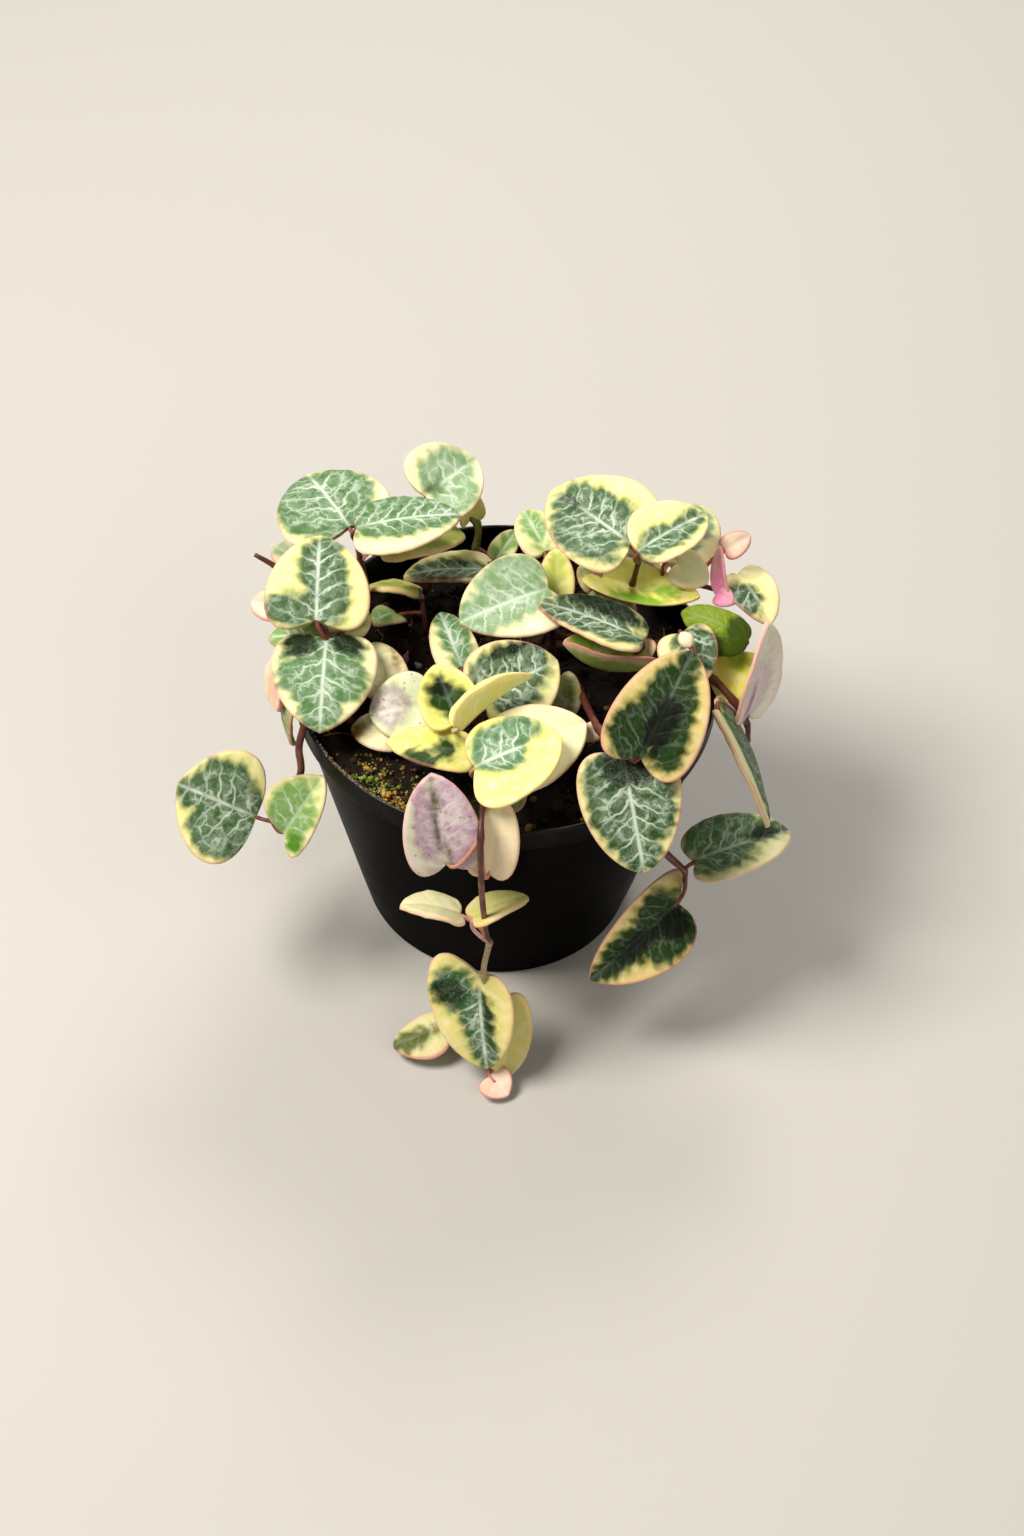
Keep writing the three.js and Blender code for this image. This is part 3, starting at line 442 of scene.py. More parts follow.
class Graph:
    """A material's nodes, made and joined by short calls."""

    def __init__(self, name):
        self.material = bpy.data.materials.new(name)
        self.material.use_nodes = True
        self.tree = self.material.node_tree
        self.shader = self.tree.nodes["Principled BSDF"]

    def node(self, kind, inputs=(), **settings):
        """Makes a node and gives its outputs."""
        made = self.tree.nodes.new("ShaderNode" + kind)
        for key, value in settings.items():
            setattr(made, key, value)
        for key, value in dict(inputs).items():
            self.put(made.inputs[key], value)
        return made.outputs

    def put(self, socket, value):
        if isinstance(value, bpy.types.NodeSocket):
            self.tree.links.new(value, socket)
        else:
            socket.default_value = value

    def set(self, **inputs):
        for key, value in inputs.items():
            self.put(self.shader.inputs[key.replace("_", " ")], value)

    def attributes(self, output, *names):
        return [self.node("Attribute", attribute_name=name)[output] for name in names]

    def place(self):
        """The shaded point in metres."""
        return self.node("TexCoord")["Object"]

    def parts(self, vector):
        return self.node("SeparateXYZ", {0: vector})[:]

    def math(self, operation, value, *others):
        """The operation on the value and each of the others in turn, or on the value alone."""
        for other in others or (0.0,):
            value = self.node("Math", {0: value, 1: other}, operation=operation)[0]
        return value

    def add(self, *values):
        return self.math("ADD", *values)

    def times(self, *values):
        return self.math("MULTIPLY", *values)

    def larger(self, *values):
        return self.math("MAXIMUM", *values)

    def centred(self, value):
        return self.add(value, -0.5)

    def step(self, value, low, high, start=0.0, end=1.0):
        """start below low, end above high, and smooth between them."""
        inputs = {0: value, 1: low, 2: high, 3: start, 4: end}
        return self.node("MapRange", inputs, interpolation_type="SMOOTHSTEP")[0]

    def near(self, distance, full, none):
        """1 at a distance under full and 0 at one over none."""
        return self.step(distance, full, none, 1.0, 0.0)

    def mix(self, share, a, b):
        return self.node("Mix", {0: share, 6: a, 7: b}, data_type="RGBA")[2]

    def paint(self, colour, other, *shares):
        """The colour with the product of the shares of the other over it."""
        return self.mix(self.times(*shares), colour, other)

    def noise(self, vector, scale, detail=3.0, rough=0.5):
        inputs = {"Vector": vector, "Scale": scale, "Detail": detail, "Roughness": rough}
        return self.node("TexNoise", inputs)[0]

    def to_border(self, vector, scale):
        """The distance to the nearest border between cells."""
        inputs = {"Vector": vector, "Scale": scale}
        return self.node("TexVoronoi", inputs, feature="DISTANCE_TO_EDGE")[0]

    def vector(self, operation, value, inputs):
        return self.node("VectorMath", {0: value, **inputs}, operation=operation)[0]

    def warped(self, vector, scale, amount):
        """The vector moved about by up to about half of amount."""
        cloud = self.node("TexNoise", {"Vector": vector, "Scale": scale, "Detail": 2.0})[1]
        centred = self.vector("SUBTRACT", cloud, {1: (0.5, 0.5, 0.5)})
        return self.vector("ADD", vector, {1: self.vector("SCALE", centred, {3: amount})})

    def bump(self, height, distance, strength):
        inputs = {"Height": height, "Strength": strength, "Distance": distance}
        self.set(Normal=self.node("Bump", inputs)[0])


# ---- Materials ----

VEIN_GAP = 3.2  # between a leaf's side veins


def leaf_material():
    """Waxy variegated leaf. Its noise is in millimetres of blade, with the leaf's seed as the depth."""
    g = Graph("leaf")
    place, field, traits = g.attributes("Vector", "place", "field", "traits")
    across = g.parts(place)[0]
    patch, rim, lateral = g.parts(field)
    veins, silver, blush = g.parts(traits)
    deep_patch, under, specks = g.attributes("Fac", "deep_patch", "under", "specks")
    margin, light, dark, frost = g.attributes("Color", *TONES)

    broad = g.centred(g.noise(place, 0.2, detail=1.0))
    cloud = g.noise(place, 0.45, rough=0.55)
    ragged = g.centred(g.noise(place, 0.8, detail=1.0))
    grain = g.noise(place, 3.4, detail=2.0, rough=0.6)
    bend = g.centred(g.noise(place, 0.35, detail=2.0))
    warped = g.warped(place, 0.6, 2.6)

    # Side veins: lateral is a length along the blade that follows them, VEIN_GAP apart.
    branch = g.add(g.times(lateral, 1 / VEIN_GAP), g.times(bend, 1.1))
    from_branch = g.times(g.math("ABSOLUTE", g.centred(g.math("FRACT", branch))), VEIN_GAP)
    from_midrib = g.math("ABSOLUTE", g.add(across, g.times(bend, 0.3)))
    from_net = g.to_border(warped, 0.25)
    outward = g.step(from_midrib, 0.5, 9.0, 1.0, 0.35)
    here = g.step(cloud, 0.36, 0.58)
    midrib = g.near(from_midrib, 0.12, 0.55)
    branches = g.times(g.near(from_branch, 0.06, 0.42), outward)
    net = g.times(g.near(from_net, 0.006, 0.085), g.add(0.15, g.times(here, 0.5)))
    fine = g.times(g.near(g.to_border(warped, 1.0), 0.02, 0.14), here, 0.15)
    lines = g.larger(midrib, branches, net, fine)
    glow = g.larger(g.near(from_midrib, 0.2, 1.4), g.times(g.near(from_branch, 0.0, 0.9), outward),
                    g.times(g.near(from_net, 0.0, 0.25), 0.45))

    # The patch's edge runs in along the side veins and out between them; islands break off it.
    ripple = g.math("COSINE", g.times(branch, tau))
    edge = g.add(patch, 0.3, g.times(broad, 3.2), ragged, g.times(ripple, 0.3))
    inside = g.step(edge, -1.0, 1.0)
    halo = g.step(edge, -2.6, 0.2)
    depth = g.step(edge, 0.2, 3.0)

    # Green: silvered towards the patch's middle and along its veins, dusted with fine pale grain.
    shine = g.add(g.times(glow, 0.55), g.times(here, 0.6))
    haze = g.times(shine, g.add(0.25, g.times(depth, 0.75)), silver)
    # The deep ovals darken the green: mostly the leaves' own deep green, but on one left_top leaf they
    # are painted shade.
    deep = g.step(g.add(deep_patch, g.times(g.add(broad, ragged), 1.6)), -0.9, 0.9)
    quiet = g.add(1.0, g.times(deep, -0.9))
    dust = g.times(g.step(grain, 0.56, 0.7), depth, silver)
    vein = g.times(lines, veins, g.add(0.3, g.times(depth, 0.5)))
    green = g.mix(deep, light, dark)
    green = g.paint(green, frost, haze, 0.5, quiet)
    green = g.paint(green, SILVER_DUST, dust, 0.3)
    green = g.paint(green, SILVER_VEIN, vein, quiet)

    # Margin: yellow-green beside the patch, cream further out, with a faint ghost of the veins.
    warm = g.times(g.near(rim, 0.3, 3.2), blush)
    cream = g.paint(margin, PALE_CREAM, g.step(cloud, 0.42, 0.75), 0.4)
    cream = g.paint(cream, GREEN_CREAM, g.step(broad, 0.0, 0.22), 0.25)
    cream = g.paint(cream, g.mix(0.55, margin, HALO_GREEN), halo, 0.6)
    cream = g.paint(cream, GHOST_VEIN, lines, 0.1)
    cream = g.paint(cream, WARM_CREAM, warm, 0.35)

    # Both sides: brown specks and a pink rim above, paler and duller below.
    dots = g.times(g.step(g.noise(place, 1.1, detail=1.0), 0.66, 0.72), specks)
    frayed = g.add(rim, g.times(g.centred(grain), 0.4))
    edging = g.times(g.near(frayed, 0.12, 0.7), blush)
    upper = g.paint(g.mix(inside, cream, green), SPECK_BROWN, dots, 0.7)
    upper = g.paint(upper, RIM_PINK, edging, 0.75)
    lower = g.mix(0.3, upper, g.mix(0.6, UNDERSIDE, margin))
    g.set(Base_Color=g.mix(under, upper, lower), Roughness=g.step(grain, 0.3, 0.7, 0.36, 0.5))
    g.set(Specular_IOR_Level=0.14, Subsurface_Weight=0.1, Subsurface_Radius=(1.0, 0.9, 0.35))
    g.set(Subsurface_Scale=0.001, Coat_Weight=0.03, Coat_Roughness=0.2)
    relief = g.add(g.times(g.larger(lines, glow), -0.5), g.times(grain, 0.35))
    g.bump(relief, distance=0.00015, strength=0.6)
    return g.material


def stem_material():
    g = Graph("stem")
    place = g.place()
    [tint] = g.attributes("Color", "tint")
    mottle = g.noise(place, 900.0, rough=0.6)
    streak = g.noise(place, 260.0, detail=2.0)
    colour = g.mix(g.step(mottle, 0.45, 0.7), tint, g.mix(0.5, tint, rgb("2c130d")))
    colour = g.paint(colour, rgb("b77a62"), g.step(streak, 0.5, 0.72), 0.35)
    g.set(Base_Color=colour, Roughness=0.45, Specular_IOR_Level=0.45)
    g.set(Subsurface_Weight=0.1, Subsurface_Radius=(1.0, 0.4, 0.25), Subsurface_Scale=0.0008)
    g.bump(mottle, distance=0.00008, strength=0.6)
    return g.material


def pot_material():
    """Satin black plastic, dusty along the rim and rubbed grey where it is handled."""
    g = Graph("pot_plastic")
    place = g.place()
    height = g.parts(place)[2]
    cloud = g.noise(place, 70.0, detail=5.0, rough=0.6)
    speck = g.noise(place, 1500.0, detail=2.0, rough=0.6)
    stretched = g.node("Mapping", {"Vector": place, "Scale": (60.0, 60.0, 900.0)})[0]
    rubs = g.step(g.noise(stretched, 1.0, detail=4.0, rough=0.65), 0.6, 0.72)
    near_rim = g.step(height, 0.0560, 0.0625)
    lip = g.step(height, 0.0623, 0.0628)
    patches = g.times(g.step(cloud, 0.42, 0.68), g.add(0.015, g.times(near_rim, 0.1)))
    dust = g.times(patches, g.step(speck, 0.3, 0.62))
    colour = g.mix(dust, rgb("070606"), rgb("75695a"))
    colour = g.paint(colour, rgb("4a4642"), rubs, 0.05)
    g.set(Base_Color=colour, Roughness=g.add(g.times(g.larger(dust, rubs), 0.35), 0.34))
    shine = g.add(g.times(near_rim, 0.15), g.times(lip, 0.5))
    g.set(Specular_IOR_Level=g.add(0.02, shine), IOR=1.25)
    g.bump(g.add(speck, g.times(rubs, 0.5)), distance=0.00005, strength=0.5)
    return g.material


def soil_material():
    g = Graph("soil")
    place = g.place()
    [tint] = g.attributes("Color", "tint")
    crumb = g.noise(place, 900.0, detail=6.0, rough=0.7)
    clod = g.noise(place, 220.0, detail=4.0, rough=0.6)
    colour = g.mix(g.step(crumb, 0.35, 0.7), g.mix(0.6, tint, rgb("060403")), tint)
    colour = g.paint(colour, g.mix(0.5, tint, rgb("5b3d1e")), g.step(clod, 0.58, 0.75), 0.5)
    g.set(Base_Color=colour, Roughness=0.95, Specular_IOR_Level=0.25)
    g.bump(g.add(crumb, clod), distance=0.0004, strength=0.8)
    return g.material


LEAF = leaf_material()
STEM = stem_material()
POT = pot_material()
SOIL = soil_material()

# ---- Leaves ----

RIM_ROWS = (0.0, 0.05, 0.16, 0.36, 0.7, 1.2)  # distances of the outer rows from the blade's edge
INNER_ROWS = 8
LAST_ROW = len(RIM_ROWS) + INNER_ROWS - 1  # along the midrib
NARROW = 3.5  # a half blade narrower than this has its outer rows closer together
ROLL = 1.1  # the edge is rounded over this width
CREASE = 0.7  # the fold along the midrib is rounded over this width
QUILT = 0.07  # height of the swellings between side veins
GROOVE_DEPTH = 0.16
GROOVE_WIDTH = 0.6
VEIN_SLANT = 0.36
VEIN_CURVE = 0.3
OUTSIDE = -12.0  # the patch depth far from every oval
SEED_GAP = 20.0  # between leaves, in the depth of their noise


def outline(share, side, form):
    """How far along and across the heart's outline is, both as shares; side is 1 for the left half."""
    turn = pi * share
    longer = 1 + (3 * form["lean"] + form["tilt"]) * side
    lobe = form["notch"] * longer * sin(turn) * (1 + cos(turn))
    along = (1 - cos(turn)) / 2
    along += APEX * (share ** 4 - along) - lobe
    across = (1 + form["lean"] * side) * sin(turn) * (1 - form["point"] * share * share)
    return along, across / (1 - form["point"] * 0.22)


def blade_frame(form):
    """Where the blade starts, the ways along it, up from it and across it, and its length."""
    start, tip, face = [vec(form[key]) for key in ("base", "tip", "face")]
    length = norm(tip - start)
    along = (tip - start) / length
    up = unit(face - along * face.dot(along))
    return start, along, up, np.cross(up, along), length


def patch_depth(ovals, along, across, length, half_width):
    """Millimetres inside the nearest of the ovals, negative outside them all."""
    depth = OUTSIDE
    for mid_along, mid_across, long_half, wide_half in ovals:
        spread = hypot((along - mid_along) / long_half, (across - mid_across) / wide_half)
        depth = max(depth, (1 - spread) * min(long_half * length, wide_half * half_width))
    return depth


def add_blade(shell, form, seed):
    """A fine blade on the same outline, cup, bow and fold as the solid's, with rounded edges."""
    draw = random.Random(seed)
    start, along, up, across, length = blade_frame(form)
    half_width = form["width"] / 2
    fold = radians(form["fold"])
    wave = draw.uniform(0.12, 0.3) * min(1, half_width / 9)
    waves = draw.uniform(1.2, 2.0)
    phase = draw.uniform(0, tau)
    colours = LOOKS[form["look"]]
    steps = max(12, round(form["width"] * 1.5))
    points, faces, index = [], [], {}

    def surface(share, side, lateral):
        reach = side * half_width
        rise = form["bow"] * 4 * share * (1 - share) + form["cup"] * side * side
        crease = (hypot(reach, CREASE) - CREASE) * sin(fold)
        ripple = wave * side * side * sin(waves * tau * share + phase + side)
        quilt = QUILT * min(1, abs(reach) / 2) * cos(tau * lateral / VEIN_GAP)
        groove = -GROOVE_DEPTH * exp(-((reach / GROOVE_WIDTH) ** 2))
        height = rise + crease + ripple + quilt + groove
        return start + along * share * length + across * reach * cos(fold) + up * height

    def corner(side, i, j, layer):
        """The vertex at outline step i and row j (0 at the edge), on the upper (1) or lower layer."""
        at_end = i in (0, steps)
        # The layers meet at the edge, the halves at the midrib, and everything at the ends.
        key = i if at_end else (i, j, side * (j < LAST_ROW), layer * (j > 0))
        if key in index:
            return index[key]
        share = i / steps
        edge_along, edge_across = outline(share, side, form)
        rib_along = ((1 - cos(pi * share)) / 2) ** 1.3
        strip = hypot((edge_along - rib_along) * length, edge_across * half_width)
        row = min(j, len(RIM_ROWS) - 1)
        outer = RIM_ROWS[row] * min(1, strip / NARROW)
        inset = 0 if at_end else outer + (strip - outer) * (j - row) / INNER_ROWS
        depth = 0 if at_end else inset / strip
        share_along = edge_along + (rib_along - edge_along) * depth
        share_across = side * edge_across * (1 - depth)
        spread = abs(share_across)
        lateral = (share_along - VEIN_SLANT * spread * (1 - VEIN_CURVE * spread)) * length
        rounded = sqrt(1 - (1 - min(1, inset / ROLL)) ** 2)
        spot = surface(share_along, share_across, lateral) + up * (layer * HALF_THICKNESS * rounded)
        place = share_across * half_width, share_along * length, SEED_GAP * seed
        green, deep = [patch_depth(form[patch], share_along, share_across, length, half_width)
                       for patch in ("green", "deep")]
        index[key] = len(points)
        points.append((spot, place, (green, inset, lateral), deep, float(layer < 0 < j)))
        return index[key]

    for side, layer, i, j in product((1, -1), (1, -1), range(steps), range(LAST_ROW)):
        around = ((i, j), (i + 1, j), (i + 1, j + 1), (i, j + 1))
        ring = list(dict.fromkeys(corner(side, a, b, layer) for a, b in around))
        if len(ring) > 2:
            faces.append(ring if side * layer < 0 else ring[::-1])
    spots, place, field, deep, under = map(list, zip(*points))
    traits = tuple(colours[name] for name in ("veins", "silver", "blush"))
    tones = {name: colours[name] for name in TONES}
    shell.add(spots, faces, place=place, field=field, deep_patch=deep, under=under, traits=traits,
              specks=colours["specks"], **tones)


# ---- Leafy stems ----

STEM_STEP = 1.2  # between a stem's rings
STEM_SIDES = 12
PETIOLE_POINTS = 11
PETIOLE_SIDES = 8
SWELLING = 0.3  # of the radius, where leaves leave a stem
SWELL_WIDTH = 1.1
TAPER = 10  # length of a stem's thinner end


def add_petiole(shell, joint, form):
    start, along, *_ = blade_frame(form)
    reach = norm(start - joint)
    bend = start - along * reach * 0.5
    end = start + along * PETIOLE_SINK
    shares = np.linspace(0, 1, PETIOLE_POINTS)
    path = [joint * (1 - t) ** 2 + 2 * bend * t * (1 - t) + end * t * t for t in shares]
    radii = [PETIOLE_RADIUS * (1.1 - 0.25 * sin(pi * t)) for t in shares]
    add_tube(shell, path, radii, PETIOLE_SIDES, tint=LOOKS[form["look"]]["petiole"])


def add_stem(shell, through, knots, radius, tint):
    """A stem along a smooth path, a little swollen where leaves leave it and thinner at its end."""
    path = smooth_path(through, STEM_STEP)
    radii = []
    for i, spot in enumerate(path):
        near = min(norm(spot - knot) for knot in knots)
        swell = 1 + SWELLING * exp(-((near / SWELL_WIDTH) ** 2))
        left = (len(path) - 1 - i) * STEM_STEP
        radii.append(radius * swell * min(1, 0.6 + 0.4 * left / TAPER))
    add_tube(shell, path, radii, STEM_SIDES, tint=tint)


def add_strand(entry, seed):
    leaves, stems = Shell(), Shell()
    x, y = entry["root"]
    joints = [vec(p) for p in entry["route"]]
    knots = [joints[form["at"]] for form in entry["leaves"] if form["at"] < len(joints)]
    below = [(x, y, SOIL_LEVEL - ROOT_DEPTH), (x, y, SOIL_LEVEL + 1)]
    tint = STEM_GREEN if entry["name"] == "back_upright" else STEM_BROWN
    young = entry["young"] or len(joints) - 1
    add_stem(stems, below + entry["route"][: young + 1], knots, entry["radius"], tint)
    if entry["young"]:
        add_stem(stems, entry["route"][young:], knots, entry["radius"], STEM_PALE)
    for start, route in entry["branches"]:
        further = [vec(p) for p in route]
        add_stem(stems, [joints[start], *further], further, entry["radius"], tint)
        joints += further
    for i, form in enumerate(entry["leaves"]):
        add_petiole(stems, joints[form["at"]], form)
        add_blade(leaves, form, seed + i)
    slot = frame_slots[entry["name"]]
    leaves.piece(entry["name"] + "_blades", LEAF, slot)
    stem = stems.piece(entry["name"] + "_stem", STEM, slot)
    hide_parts(entry["name"])


for number, entry in enumerate(STRANDS):
    add_strand(entry, 10 * number + 1)

# ---- Sprout ----

SPROUT_ROUTE = [(-21, 3.7, 50.2), (-21, 3.7, 59), (-20.4, 3.7, 61.5), (-19.9, 3.8, 63.4)]
SPROUT_RADIUS = 0.8
SPROUT_STEP = 0.4
SPROUT_SIDES = 14


def make_sprout():
    shell = Shell()
    path = smooth_path(SPROUT_ROUTE, SPROUT_STEP)
    top = path[-1][2]
    radii = [SPROUT_RADIUS * min(1, 0.12 + (top - z) / 2.2) * (1 + 0.12 * sin(z * 2.6))
             for _, _, z in path]
    add_tube(shell, path, radii, SPROUT_SIDES, tint=SPROUT_PURPLE)
    sprout = shell.piece("sprout_bud", STEM, frame_slots["sprout"])
    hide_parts("sprout")


make_sprout()

# ---- Pot ----

POT_SEGMENTS = 160
LIP = 0.5  # rounding of the rim
BAND_BOTTOM = POT_HEIGHT - RIM_BAND_HEIGHT
SHARP_ANGLE = 35  # degrees


def lip_arc(radius, height, size, first, last, count=6):
    """Profile points round a small corner, between two angles in degrees."""
    turns = (radians(first + (last - first) * i / count) for i in range(count + 1))
    return [(radius + size * cos(t), height + size * sin(t)) for t in turns]


# Radius and height of the wall's section, from under the floor's middle round the rim to above it.
POT_PROFILE = [
    (0, 0),
    (POT_BASE_RADIUS - 1.4, 0),
    *lip_arc(POT_BASE_RADIUS - 0.8, 0.9, 0.9, -80, 0),
    *[(POT_BASE_RADIUS + (WALL_TOP_RADIUS - POT_BASE_RADIUS) * height / BAND_BOTTOM, height)
      for height in (8, 20, 32, 44, 54)],
    (WALL_TOP_RADIUS, BAND_BOTTOM),
    (WALL_TOP_RADIUS + 0.25, BAND_BOTTOM + 0.1),
    *lip_arc(RIM_RADIUS - 0.35, BAND_BOTTOM + 0.55, 0.35, -80, 0, 3),
    (RIM_RADIUS - 0.08, BAND_BOTTOM + 2.4),
    *lip_arc(RIM_RADIUS - LIP, POT_HEIGHT - LIP, LIP, 0, 180, 8),
    (RIM_RADIUS - POT_WALL, BAND_BOTTOM + 1.4),
    (WALL_TOP_RADIUS - POT_WALL, BAND_BOTTOM),
    (POT_BASE_RADIUS - POT_WALL, POT_FLOOR),
    (0, POT_FLOOR),
]


def finished_mesh(name, mesh):
    data = bpy.data.meshes.new(name)
    mesh.to_mesh(data)
    mesh.free()
    return data


def turned_pot():
    """The pot's profile turned round its axis; the profile's ends are single points on it."""
    mesh = bmesh.new()
    rings = []
    for radius, height in POT_PROFILE:
        around = circle(radius, POT_SEGMENTS) if radius else [(0, 0)]
        rings.append([mesh.verts.new((x * MM, y * MM, height * MM)) for x, y in around])
    for (low, high), k in product(zip(rings, rings[1:]), range(POT_SEGMENTS)):
        n = (k + 1) % POT_SEGMENTS
        corners = [low[k % len(low)], low[n % len(low)], high[n % len(high)], high[k % len(high)]]
        mesh.faces.new(dict.fromkeys(corners))
    return finished_mesh("pot_shell", mesh)


def drain_pins():
    mesh = bmesh.new()
    for i in range(DRAIN_HOLES):
        turn = tau * (i + 0.5) / DRAIN_HOLES
        place = Matrix.Translation(Vector((*polar(DRAIN_CIRCLE_RADIUS, turn), 0)) * MM)
        bmesh.ops.create_cone(mesh, cap_ends=True, segments=32, radius1=DRAIN_HOLE_RADIUS * MM,
                              radius2=DRAIN_HOLE_RADIUS * MM, depth=4 * POT_FLOOR * MM, matrix=place)
    return finished_mesh("drain_cutter", mesh)


def make_pot():
    pot = linked("pot_shell", turned_pot())
    cutter = linked("drain_cutter", drain_pins())
    cut = pot.modifiers.new("drains", "BOOLEAN")
    cut.operation = "DIFFERENCE"
    cut.solver = "EXACT"
    cut.object = cutter
    depsgraph = bpy.context.evaluated_depsgraph_get()
    finished = bpy.data.meshes.new_from_object(pot.evaluated_get(depsgraph))
    pot.modifiers.clear()
    pot.data = finished
    bpy.data.objects.remove(cutter)
    finished.materials.clear()
    finished.materials.append(POT)
    finished.shade_smooth()
    finished.set_sharp_from_angle(angle=radians(SHARP_ANGLE))
    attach(pot, BODY)
    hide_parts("pot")


make_pot()

# ---- Soil ----

SOIL_RINGS = 90
SOIL_SPOKES = 220
SOIL_SKIRT = [(39.5, 56), (27.1, POT_FLOOR + 0.35)]  # radius and height of the rings under its edge
PEAT = rgb("1d120b")
CRUMB_TINTS = palette("150d08 20140c 2c1c10 0d0805 3c2818")
OCHRE_TINTS = palette("8a6226 a87f34 6d4a1c 7a6a2c")
GRIT_TINTS = palette("8d877c 6e675c a39c8e")
LICHEN_TINTS = palette("8b8a3a a3913f 6c7431 c0a04a")
MOSS_TINTS = palette("6f8a2c 8ea046 5c7424 a9ae5e 4d5f22")
GOLD_TINTS = palette("c99a34 e0bd55 a87424 d8c070")
# Clumps at the front left of the rim: angle, radius, half width (degrees), depth (mm), grains, tints.
LICHEN_CLUMPS = [
    (226, 38.2, 5, 1.2, 70, MOSS_TINTS),
    (231, 36.2, 4, 1.6, 60, MOSS_TINTS),
    (222, 35.0, 3, 1.2, 34, GOLD_TINTS),
    (236, 37.6, 6, 1.4, 80, GOLD_TINTS),
    (243, 38.4, 6, 1.0, 60, GOLD_TINTS),
    (229, 33.5, 14, 4.0, 120, LICHEN_TINTS + OCHRE_TINTS),
    (250, 37.5, 9, 1.6, 50, LICHEN_TINTS + OCHRE_TINTS),
]


def soil_height(x, y):
    lumps = 0.5 * sin(x * 0.31 + 1) * cos(y * 0.27) + 0.3 * sin(x * 0.7 - y * 0.5)
    bank = 2 * exp(-((x + 24) ** 2 + (y + 28) ** 2) / 130)
    return SOIL_LEVEL + lumps + bank


def rough_height(x, y):
    """The soil's surface with its two sizes of lump."""
    coarse = noise.fractal(Vector((x * 0.22, y * 0.22, 3.1)), 0.8, 2.1, 5)
    fine = noise.fractal(Vector((x * 0.9, y * 0.9, 7.7)), 0.7, 2.2, 4)
    return soil_height(x, y) + 0.75 * coarse + 0.35 * fine


def make_soil():
    shell = Shell()
    spots = [(0, 0, rough_height(0, 0))]
    for ring in range(1, SOIL_RINGS + 1):
        around = circle(SOIL_EDGE_RADIUS * ring / SOIL_RINGS, SOIL_SPOKES)
        spots += [(x, y, rough_height(x, y)) for x, y in around]
    for radius, height in SOIL_SKIRT:
        spots += [(x, y, height) for x, y in circle(radius, SOIL_SPOKES)]
    faces = [(0, 1 + k, 1 + (k + 1) % SOIL_SPOKES) for k in range(SOIL_SPOKES)]
    rings = SOIL_RINGS + len(SOIL_SKIRT)
    faces += [(a, d, c, b) for a, b, c, d in bands(rings, SOIL_SPOKES, first=1)]
    faces.append(tuple(reversed(range(len(spots) - SOIL_SPOKES, len(spots)))))
    shell.add(spots, faces, tint=PEAT)
    soil = shell.piece("soil_body", SOIL, frame_slots["soil"])
    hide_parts("soil")


# ---- Crumbs, grit, fibres and lichen on the soil ----

CRUMBS = 1500
CLODS = 26
FRONT_CLODS = [(-15.5, -31, 2.3), (-11.5, -33, 1.8)]  # x, y and size
RIM_GRAINS = 230
FIBRES = 150
FIBRE_POINTS = 9
FIBRE_STEP = 0.8
FIBRE_RADIUS = 0.11
# Furthest from the pot's axis.
CRUMB_REACH = 39
CLOD_REACH = 35
FIBRE_REACH = 38
LICHEN_REACH = 39.2


def ball(divisions):
    mesh = bmesh.new()
    bmesh.ops.create_icosphere(mesh, subdivisions=divisions, radius=1)
    mesh.verts.index_update()
    spots = [vec(v.co) for v in mesh.verts]
    faces = [[v.index for v in f.verts] for f in mesh.faces]
    mesh.free()
    return spots, faces


SMALL_BALL, LARGE_BALL, CLOD_BALL = ball(1), ball(2), ball(3)


def scattered(draw, reach):
    """A place anywhere within reach of the pot's axis."""
    radius = reach * sqrt(draw.random())
    return polar(radius, draw.uniform(0, tau))


def on_soil(x, y, lift):
    return vec((x, y, rough_height(x, y) + lift))


def noise_shift(draw):
    return Vector([draw.uniform(0, 50) for _ in range(3)])


def add_crumb(shell, draw, centre, size, tint, shape=SMALL_BALL):
    spots, faces = shape
    shift = noise_shift(draw)
    stretch = vec([draw.uniform(0.7, 1.3), draw.uniform(0.7, 1.3), draw.uniform(0.5, 0.9)])
    over, up = polar(1, draw.uniform(0, pi))
    placed = []
    for spot in spots:
        x, y, z = spot * (1 + 0.45 * noise.noise(Vector(spot) * 1.4 + shift)) * stretch * size
        placed.append(centre + vec((x * over - y * up, x * up + y * over, z)))
    shell.add(placed, faces, tint=tint)


def add_clod(shell, draw, x, y, size):
    """A crumbly lump of peat: a ball whose surface is broken up by two sizes of lump."""
    spots, faces = CLOD_BALL
    shift = noise_shift(draw)
    centre = on_soil(x, y, 0.35 * size)
    placed = []
    for spot in spots:
        coarse = noise.noise(Vector(spot) * 1.6 + shift)
        fine = noise.noise(Vector(spot) * 6 + shift)
        placed.append(centre + spot * (1 + 0.5 * coarse + 0.28 * fine) * size * vec((1.2, 1, 0.75)))
    shell.add(placed, faces, tint=draw.choice(CRUMB_TINTS))


def add_crumbs(shell, draw):
    for _ in range(CRUMBS):
        x, y = scattered(draw, CRUMB_REACH)
        size = 0.22 + 0.75 * draw.random() ** 3
        pick = draw.random()
        tints = CRUMB_TINTS if pick < 0.86 else OCHRE_TINTS if pick < 0.96 else GRIT_TINTS
        shape = LARGE_BALL if size > 0.6 else SMALL_BALL
        add_crumb(shell, draw, on_soil(x, y, 0.2 * size), size, draw.choice(tints), shape)


def add_clods(shell, draw):
    for _ in range(CLODS):
        x, y = scattered(draw, CLOD_REACH)
        add_clod(shell, draw, x, y, 1.0 + 1.1 * draw.random())
    for x, y, size in FRONT_CLODS:
        add_clod(shell, draw, x, y, size)


